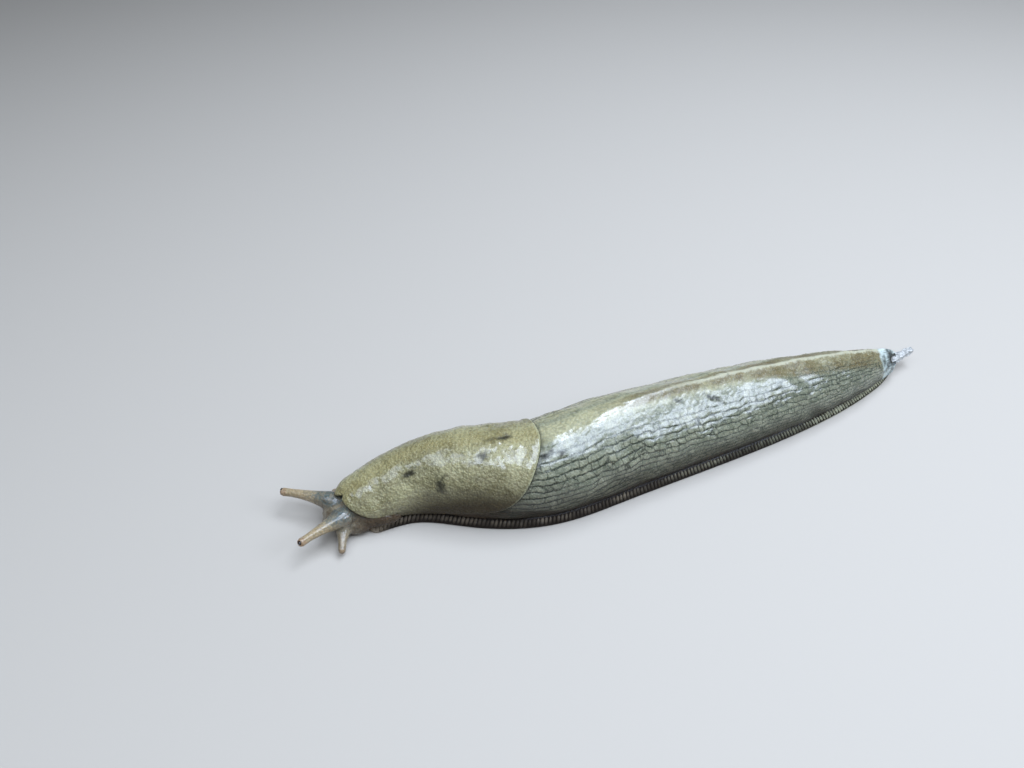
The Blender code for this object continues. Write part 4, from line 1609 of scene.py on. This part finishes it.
@dataclass(frozen=True)
class BackSkin:
    """Skin of the back and flanks: long cells between dark furrows, a pale keel, tan bands beside it, a
    lighter top that is partly painted light, and painted shade low down and round the mantle.
    """

    flesh: WetFlesh = WetFlesh(film=1.0)
    cell: str = "#84856F"
    cell_dark: str = "#646855"
    furrow: str = "#242B1E"
    keel: str = "#A09E88"
    band: str = "#5A4E2E"
    # partly the top's own paler skin, partly painted light from above
    top: str = "#9D9976"
    # dark brown, painted shade low on the flanks
    low: str = "#2B1E15"
    tip: str = "#B0BDB9"
    tip_dark: str = "#46504F"
    # dark brown, painted shade on the trunk under the mantle's front
    neck: str = "#3B2F23"
    # near black, for the marks and for painted shadow and shade
    ink_and_shade: str = "#15160F"
    cell_length: float = 3.5
    row_shift: float = 37.0
    row_stretch: float = 11.0
    row_slant: float = 4.2

    def material(self) -> Material:
        """Builds the material of living slug skin, wet with mucus, which shows as broken bright highlights.

        Returns:
            The material.
        """
        skin = Surface("back_skin")
        share, net, mark, line, side = skin.own("share", "net", "mark", "cell_v", "around")
        length, rim, pale_tip = skin.own("cell_u", "rim", "tip")
        around, level, place = side.to(Kind.SIZE), line.to(Kind.SIZE), skin.place
        wobble = place.to(Kind.NOISE, per_mm(1.6), 3.0) - 0.5
        sway = place.to(Kind.NOISE, per_mm(0.7), 2.0) - 0.5
        v = line + wobble * 0.42 + sway * 0.16
        row, across = v.to(Kind.FLOOR), v.to(Kind.PART)
        row_key = row.to(Kind.ROW_KEY)
        u = length + row_key * self.row_shift
        stretch = u.to(Kind.FLAT, row).to(Kind.FLAT_NOISE, 0.3, 2.0)
        u = u + stretch * self.row_stretch + across * (row_key - 0.5) * self.row_slant + wobble * 1.6
        cells = u / self.cell_length
        column, along = cells.to(Kind.FLOOR), cells.to(Kind.PART)
        cell_key = column.to(Kind.FLAT, row).to(Kind.CELL_KEY)
        to_line, to_end = across & (across * -1 + 1), along & (along * -1 + 1)
        front_wide = to_line - share.to(Kind.STEP, 0.52, 0.32) * 0.05
        uneven = place.to(Kind.NOISE, per_mm(4.5), 2.0).to(Kind.STEP, 0.30, 0.55) * 0.45 + 0.55
        long_groove = front_wide.to(Kind.STEP, 0.15, 0.02) * uneven
        cross_part = cell_key.to(Kind.STEP, 0.2, 0.7) * 0.6 + 0.3
        cross_groove = to_end.to(Kind.STEP, 0.06, 0.015) * cross_part
        round_end = (to_line * 1.6).to(Kind.SOFT_LEAST, to_end * self.cell_length, 1.5)
        corner = round_end.to(Kind.STEP, 0.2, -0.05) * cross_part
        groove = (long_groove | cross_groove | corner) * net
        fine = (u / 0.95).to(Kind.FLAT, v * 3.4).to(Kind.FLAT_CRACKS, 1.0)
        wrinkle = fine.to(Kind.STEP, 0.13, 0.0) * net * (share.to(Kind.STEP, 0.45, 0.85) * 0.6 + 0.4)
        grain, speck = place.to(Kind.GRAINS, per_mm(0.58)), place.to(Kind.NOISE, per_mm(0.34), 2.0)
        mottle, patches = place.to(Kind.NOISE, per_mm(1.9), 4.0), place.to(Kind.NOISE, per_mm(9.0), 3.0)
        tone = (cell_key * 0.2 + mottle - 0.05).to(Kind.STEP, 0.34, 0.8)
        skin.colour = tone.to(Kind.BLEND, self.cell_dark, self.cell)
        # The top of the back is painted lighter: partly its own paler skin, partly painted light from above.
        top = around.to(Kind.STEP, 3.8, 1.0) | side.to(Kind.STEP, 2.0, 5.0)
        skin.paint(top * 0.85, self.top)
        widening = share.to(Kind.STEP, 0.60, 0.80) * 2.0
        broken = (patches + mottle).to(Kind.STEP, 0.75, 1.2) * 0.5 + 0.5
        band = (around - widening).to(Kind.STEP, 2.5, 1.1) * share.to(Kind.STEP, 0.36, 0.50) * broken
        skin.paint(band * 0.95, self.band)
        # Painted shade: the flanks darken to dark brown towards the bottom and near the mantle, where the
        # ground shades them.
        lower = level + patches * 3.0 + share.to(Kind.STEP, 0.40, 0.26) * 2.6
        brown = lower.to(Kind.STEP, 14.2, 16.4) * 0.95
        shaded = lower.to(Kind.STEP, 8.5, 15.5) * 0.6
        skin.paint(brown | shaded, self.low)
        # Painted shade: each cell darkens towards its furrows.
        edges = (to_line & to_end).to(Kind.STEP, 0.34, 0.0) * net
        skin.paint(edges * 0.3, self.furrow)
        # Painted shade: low on the front and middle of the flanks the furrows turn near black.
        deep = level.to(Kind.STEP, 4.0, 9.0) * share.to(Kind.STEP, 0.80, 0.42)
        skin.paint(groove * 0.92, deep.to(Kind.BLEND, self.furrow, self.ink_and_shade))
        skin.paint(wrinkle * 0.5, self.furrow)
        skin.paint(grain.to(Kind.STEP, 0.25, 0.7) * 0.3, self.furrow)
        # Pale specks, fewer where shade is painted.
        skin.paint(speck.to(Kind.STEP, 0.50, 0.68) * (shaded * -0.4 + 0.3), self.keel)
        fuzzy = around + sway * 0.7 + wobble * 1.1
        skin.paint(fuzzy.to(Kind.STEP, 0.8, 0.2) * share.to(Kind.STEP, 0.44, 0.60) * 0.8, self.keel)
        # Painted shade: the trunk under the mantle's front is dark brown.
        skin.paint(share.to(Kind.STEP, 0.26, 0.20) * 0.85, self.neck)
        # Painted shadow: a dark line on the trunk under the mantle's rim.
        skin.paint(rim * 0.6, self.ink_and_shade)
        tip = (pale_tip + wobble * 0.5).to(Kind.STEP, 0.3, 0.75)
        skin.paint(tip * 0.8, mottle.to(Kind.STEP, 0.3, 0.6).to(Kind.BLEND, self.tip_dark, self.tip))
        skin.paint(mark, self.ink_and_shade)
        height = groove * -0.08 + wrinkle * -0.06 + grain * -0.17 + speck * 0.05 + mottle * 0.07
        cracks = groove * 0.6 | wrinkle * 0.35
        film_gaps = place.to(Kind.NOISE, per_mm(0.9), 4.0, 0.65).to(Kind.STEP, 0.48, 0.62) * 0.5
        matt = (fuzzy - widening).to(Kind.STEP, 2.4, 1.4) * share.to(Kind.STEP, 0.46, 0.56) * 0.9
        dry = level.to(Kind.STEP, 8.0, 12.8) | cracks | film_gaps | matt | mark
        return self.flesh.finish(skin, height, dry)


@dataclass(frozen=True)
class MantleSkin:
    """Skin of the mantle: yellow olive, mottled, finely granular, with a thin pale rim, and painted shade
    down its sides and in its breathing hole.
    """

    flesh: WetFlesh = WetFlesh(film=0.8, film_roughness=0.13)
    base: str = "#7F7A5A"
    light: str = "#A19D78"
    crest: str = "#80733F"
    dark: str = "#6B6648"
    # dark brown: the dark of the grains, and painted shade low on the sides
    low: str = "#25190C"
    rim: str = "#989A7D"
    # near black, for the marks and the painted shade in the breathing hole
    ink_and_shade: str = "#17160F"

    def material(self) -> Material:
        """Builds the material of the mantle's thick wet skin, whose grains break the highlights up.

        Returns:
            The material.
        """
        skin = Surface("mantle_skin")
        mark, side, u, v, rim, share = skin.own("mark", "around", "cell_u", "cell_v", "rim", "share")
        around, place = side.to(Kind.SIZE), skin.place
        grain, speck = place.to(Kind.GRAINS, per_mm(0.5)), place.to(Kind.NOISE, per_mm(0.3), 1.0)
        mottle, patches = place.to(Kind.NOISE, per_mm(1.8), 4.0, 0.6), place.to(Kind.NOISE, per_mm(8.0), 3.0)
        crease = u.to(Kind.FLAT, v / 4.5).to(Kind.FLAT_NOISE, 1.0, 3.0)
        skin.colour = mottle.to(Kind.STEP, 0.32, 0.68).to(Kind.BLEND, self.dark, self.base)
        skin.paint(patches.to(Kind.STEP, 0.42, 0.7) * 0.6, self.light)
        crest = (mottle * 4.0 + around).to(Kind.STEP, 6.0, 2.0)
        skin.paint(crest * 0.38, self.crest)
        skin.paint(grain.to(Kind.STEP, 0.25, 0.75) * 0.3, self.low)
        skin.paint(speck.to(Kind.STEP, 0.52, 0.7) * 0.35, self.light)
        # Painted shade: the mantle darkens to dark brown down its sides.
        skin.paint(around.to(Kind.STEP, 7.5, 16.5) * 0.9, self.low)
        pale = rim * share.to(Kind.STEP, 0.20, 0.29)
        skin.paint(pale * 0.4, self.rim)
        skin.paint(mark, self.ink_and_shade)
        height = grain * -0.25 + speck * 0.1 + crease * 0.16 + mottle * 0.2
        film_gaps = place.to(Kind.NOISE, per_mm(1.3), 4.0, 0.65).to(Kind.STEP, 0.45, 0.60) * 0.65
        dry = around.to(Kind.STEP, 9.0, 15.0) | mark | film_gaps | pale * 0.8
        return self.flesh.finish(skin, height, dry)


@dataclass(frozen=True)
class FootSkin:
    """Skin of the foot: dark between the fringe's pale cream green ribs, which are painted lighter where
    light falls and darker in shade, and a pale grey tan sole.
    """

    flesh: WetFlesh = WetFlesh(roughness=0.55, specular=0.1, film=0.14, film_roughness=0.25, glow=0.12)
    gap: str = "#1A140F"
    gap_rear: str = "#26241A"
    rib_rear: str = "#A6A68C"
    rib_front: str = "#8B7F6D"
    sole: str = "#857C6B"

    def material(self) -> Material:
        """Builds the material of the fringe's soft wet beads.

        Returns:
            The material.
        """
        skin = Surface("foot_skin")
        (share, bead), level = skin.own("share", "rib"), skin.place.to(Kind.UP)
        patches, mottle = (skin.place.to(Kind.NOISE, per_mm(size), 3.0) for size in (5.0, 0.9))
        # Painted light and shade: the ribs are paler at their tops and towards the tail, where light falls on
        # them, and dimmer along the middle in the shade under the body; patches vary them at random.
        strong = share.to(Kind.STEP, 0.72, 0.88) * 1.5 + patches.to(Kind.STEP, 0.4, 0.65)
        strong = strong + share.to(Kind.STEP, 0.085, 0.055) * 1.2
        lit = share.to(Kind.STEP, 0.55, 0.9) | level.to(Kind.STEP, 0.7 * MM, 1.6 * MM)
        rib = bead * (strong * 0.34 + 0.15) * (lit * 0.75 + 0.15)
        skin.colour = share.to(Kind.STEP, 0.07, 0.02).to(Kind.BLEND, self.gap, self.rib_front)
        skin.paint(share.to(Kind.STEP, 0.80, 0.97), self.gap_rear)
        hem = level.to(Kind.STEP, 0.6 * MM, 0.3 * MM) * share.to(Kind.STEP, 0.70, 0.85)
        skin.paint(hem * 0.7, self.rib_rear)
        skin.paint(rib, share.to(Kind.STEP, 0.35, 0.75).to(Kind.BLEND, self.rib_front, self.rib_rear))
        skin.paint(mottle.to(Kind.STEP, 0.45, 0.65) * 0.3, self.gap)
        skin.paint(level.to(Kind.STEP, 0.12 * MM, 0.02 * MM), self.sole)
        return self.flesh.finish(skin, mottle * 0.12)


@dataclass(frozen=True)
class HeadSkin:
    """Skin of the head and tentacles: thin, translucent, grey tan, paler and pinker towards the tips, with a
    painted teal reflection on the stalks' bases and painted shade behind the head.
    """

    flesh: WetFlesh = WetFlesh(roughness=0.42, film=0.55, film_roughness=0.14, glow=0.4, glow_depth=1.1)
    base: str = "#756C59"
    dark: str = "#554C3D"
    stalk: str = "#948466"
    # teal, a painted reflection
    sheen: str = "#465250"
    tip: str = "#85664D"
    shade: str = "#372A1C"
    shade_ends: tuple[float, float] = (-71.5, -66.5)

    def material(self) -> Material:
        """Builds the material of the thin wet skin over the head, with tiny tubercles.

        Returns:
            The material.
        """
        skin = Surface("head_skin")
        (stalk, tip, sheen), place = skin.own("rib", "tip", "rim"), skin.place
        tubercle, mottle = place.to(Kind.GRAINS, per_mm(0.46)), place.to(Kind.NOISE, per_mm(1.2), 3.0)
        skin.colour = mottle.to(Kind.STEP, 0.35, 0.65).to(Kind.BLEND, self.dark, self.base)
        skin.paint(stalk * 0.9, self.stalk)
        skin.paint(tip * 0.7, self.tip)
        skin.paint(tubercle.to(Kind.STEP, 0.3, 0.7) * 0.25, self.dark)
        # Painted reflection: a teal sheen on the upper side of the stalks' bases.
        skin.paint(sheen * (tubercle * 1.3 - 0.05), self.sheen)
        front, rear = self.shade_ends
        behind = place.to(Kind.ALONG).to(Kind.STEP, front * MM, rear * MM)
        skin.paint(behind * 0.85, self.shade)
        return self.flesh.finish(skin, tubercle * -0.2 + mottle * 0.06, behind)


@dataclass(frozen=True)
class Mucus:
    """Thick slug mucus: clear jelly with cloudy whitish streaks."""

    clear: str = "#8A8B88"
    cloudy: str = "#ABABA6"
    clearness: float = 0.08
    roughness: float = 0.3

    def material(self) -> Material:
        """Builds the material of drying mucus, glassy outside and milky inside.

        Returns:
            The material.
        """
        mucus = Surface("slug_mucus")
        streaks = mucus.place.to(Kind.NOISE, per_mm(0.8), 3.0)
        bubbles = mucus.place.to(Kind.NOISE, per_mm(0.25), 2.0)
        mucus.colour = streaks.to(Kind.STEP, 0.4, 0.62).to(Kind.BLEND, self.clear, self.cloudy)
        return mucus.finish(bubbles * 0.04 + streaks * 0.12, {
            "Transmission Weight": streaks.to(Kind.STEP, 0.65, 0.4) * self.clearness,
            "Roughness": self.roughness,
            "IOR": 1.36,
            "Coat Weight": 0.4,
            "Coat Roughness": 0.15,
            "Subsurface Weight": 0.25,
            "Subsurface Radius": (1.0, 1.0, 1.0),
            "Subsurface Scale": 0.3 * MM,
        })


@dataclass(frozen=True)
class EyeSkin:
    """The eye at a stalk's tip: a near black pigment cup under clear skin."""

    pupil: str = "#0D0907"
    ring: str = "#33241A"

    def material(self) -> Material:
        """Builds the material of the wet eye, black with a trace of brown grain.

        Returns:
            The material.
        """
        eye = Surface("slug_eye")
        grain = eye.place.to(Kind.NOISE, per_mm(0.12), 3.0)
        eye.colour = grain.to(Kind.STEP, 0.42, 0.62).to(Kind.BLEND, self.pupil, self.ring)
        return eye.finish(grain * 0.02, {
            "Roughness": grain * 0.2 + 0.12, "IOR": 1.42, "Coat Weight": 1.0, "Coat Roughness": 0.04,
        })


@dataclass
class Skin:
    """The one skin of the whole animal, joined from its closed patches."""

    form: BodyForm
    flesh_nodes: tuple[str, ...] = (
        "head", "neck", "trunk_front", "trunk_middle", "trunk_rear", "tail", "tail_tip", "mantle",
        "foot_front", "foot_middle", "foot_rear",
        "eye_stalk_left", "eye_stalk_right", "feeler_left", "feeler_right",
    )

    def patch_object(self, patch: SkinPatch) -> Object:
        """Makes an object of a patch, with its values on the corners of its faces.

        Args:
            patch: the patch.

        Returns:
            The object, in mm.
        """
        bm = bmesh.new()
        points = [bm.verts.new(point) for point in patch.points]
        for face in patch.faces:
            bm.faces.new([points[i] for i in face])
        bmesh.ops.recalc_face_normals(bm, faces=bm.faces)
        obj = mesh_object(patch.zone.name.lower(), bm)
        mesh = obj.data
        corners = np.empty(len(mesh.loops), dtype=np.int32)
        mesh.loops.foreach_get("vertex_index", corners)
        none = np.zeros(len(patch.points))
        patch.values["zone"] = none + patch.zone.value
        for name in SKIN_VALUES:
            values = patch.values.get(name, none)[corners].astype(np.float32)
            mesh.attributes.new(name, "FLOAT", "CORNER").data.foreach_set("value", values)
        return obj

    def build(self, eyes: Sequence[Vector]) -> Object:
        """Builds the skin and hides the solids it stands for.

        Args:
            eyes: middles of the two eyes in mm.

        Returns:
            The skin.
        """
        form, foot = self.form, Foot(self.form)
        patches = [Trunk(form).build(), Mantle(form).build(), foot.build(), Head(form).build(eyes)]
        for patch in patches:
            LOG.info("patch %s has %d faces", patch.zone.name.lower(), len(patch.faces))
        skin, *others = [self.patch_object(patch) for patch in patches]
        combine(skin, others, "UNION")
        combine(skin, [self.patch_object(TailEnd(form).pit())], "DIFFERENCE")
        mesh = skin.data
        mesh.materials.clear()
        for finish in (BackSkin(), MantleSkin(), FootSkin(), HeadSkin()):
            mesh.materials.append(finish.material())
        bm = bmesh.new()
        bm.from_mesh(mesh)
        bmesh.ops.scale(bm, vec=(MM,) * 3, verts=bm.verts)
        clean(bm)
        zone = bm.loops.layers.float["zone"]
        for face in bm.faces:
            face.material_index = round(face.loops[0][zone])
            face.smooth = True
        before = set(bm.faces)
        bm.from_mesh(foot.ribs(mesh.materials[Zone.FOOT.value]))
        share, rib = bm.loops.layers.float["share"], bm.loops.layers.float["rib"]
        for face in (face for face in bm.faces if face not in before):
            face.material_index, face.smooth = Zone.FOOT.value, True
            for loop in face.loops:
                loop[share], loop[rib] = loop.vert.co.x / (form.length * MM) + 0.5, 1.0
        bm.to_mesh(mesh)
        bm.free()
        skin.name = mesh.name = "slug_skin"
        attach(skin, "root")
        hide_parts(*self.flesh_nodes)
        return skin


@dataclass(frozen=True)
class Lamp:
    """A soft light, with places and sides in mm, power in watts and an sRGB hex colour."""

    name: str
    place: Place
    aim: Place
    sides: tuple[float, float]
    power: float
    colour: str = "#DCE9FF"

    def hang(self) -> None:
        """Puts the light into the scene."""
        data = bpy.data.lights.new(self.name, "AREA")
        data.shape, data.energy = "RECTANGLE", self.power
        data.size, data.size_y = (side * MM for side in self.sides)
        data.color = linear(self.colour)[:3]
        aimed(data, self.place, self.aim)


def aimed(data: bpy.types.Light | bpy.types.Camera, place: Place, aim: Place) -> Object:
    """Puts a light or a camera into the scene.

    Args:
        data: the light or the camera.
        place: where it stands, in mm.
        aim: what it faces, in mm.

    Returns:
        The new object.
    """
    obj = bpy.data.objects.new(data.name, data)
    obj.location = Vector(place) * MM
    obj.rotation_euler = (Vector(aim) - Vector(place)).to_track_quat("-Z", "Y").to_euler()
    bpy.context.scene.collection.objects.link(obj)
    return obj


@dataclass(frozen=True)
class Studio:
    """Pale floor, soft light and the camera at the photograph's place."""

    camera_place: Place = (-72.6, -109.3, 134.2)
    camera_aim: Place = (-22.1, 31.0, 0.0)
    lens: float = 27.07
    board: str = "#A09A90"
    sky: str = "#E6ECF2"
    sky_strength: float = 0.15
    lamps: tuple[Lamp, ...] = (
        Lamp("front_box", (120, -85, 500), (90, -60, 0), (560, 370), 6.0),
        Lamp("crest_box", (165, 155, 500), (165, 155, 0), (170, 120), 0.6),
        Lamp("rear_box", (600, -372, 500), (400, -225, 0), (400, 345), 4.8),
        Lamp("head_box", (-300, -60, 480), (-220, -50, 0), (300, 300), 1.2),
        Lamp("front_light", (-300, -420, 380), (-10, 0, 5), (400, 400), 0.25, "#FFFDF8"),
    )

    def floor(self) -> None:
        """Lays the floor, a matte board."""
        bm = bmesh.new()
        bmesh.ops.create_grid(bm, x_segments=1, y_segments=1, size=1.0)
        floor = mesh_object("floor", bm)
        board = Surface("floor_board")
        board.fill(board.shader, {"Base Color": self.board, "Roughness": 0.8})
        floor.data.materials.append(board.material)

    def build(self) -> None:
        """Sets the whole studio up."""
        self.floor()
        for lamp in self.lamps:
            lamp.hang()
        scene = bpy.context.scene
        scene.world = bpy.data.worlds.new("studio")
        scene.world.use_nodes = True
        sky = scene.world.node_tree.nodes["Background"].inputs
        sky["Color"].default_value, sky["Strength"].default_value = linear(self.sky), self.sky_strength
        scene.view_settings.view_transform = "Standard"
        data = bpy.data.cameras.new("camera")
        data.lens, data.sensor_width = self.lens, 36.0
        data.clip_start, data.clip_end = 0.005, 10.0
        scene.camera = aimed(data, self.camera_place, self.camera_aim)


def main() -> None:
    """Loads the solids, dresses them and sets the studio up."""
    logging.basicConfig(level=logging.INFO, format="%(message)s")
    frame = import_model()
    form = BodyForm()
    eyes = [sum(map(Vector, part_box(name)), Vector()) / 2 / MM for name in ("eye_left", "eye_right")]
    for piece in (Skin(form).build(eyes), TailEnd(form).build()):
        LOG.info("%s: %d faces", piece.name, len(piece.data.polygons))
    eye_skin = EyeSkin().material()
    for name in ("eye_left", "eye_right"):
        frame["nodes"][name].data.materials.clear()
        frame["nodes"][name].data.materials.append(eye_skin)
        LOG.info("%s has its finish", name)
    Studio().build()


if __name__ == "__main__":
    main()
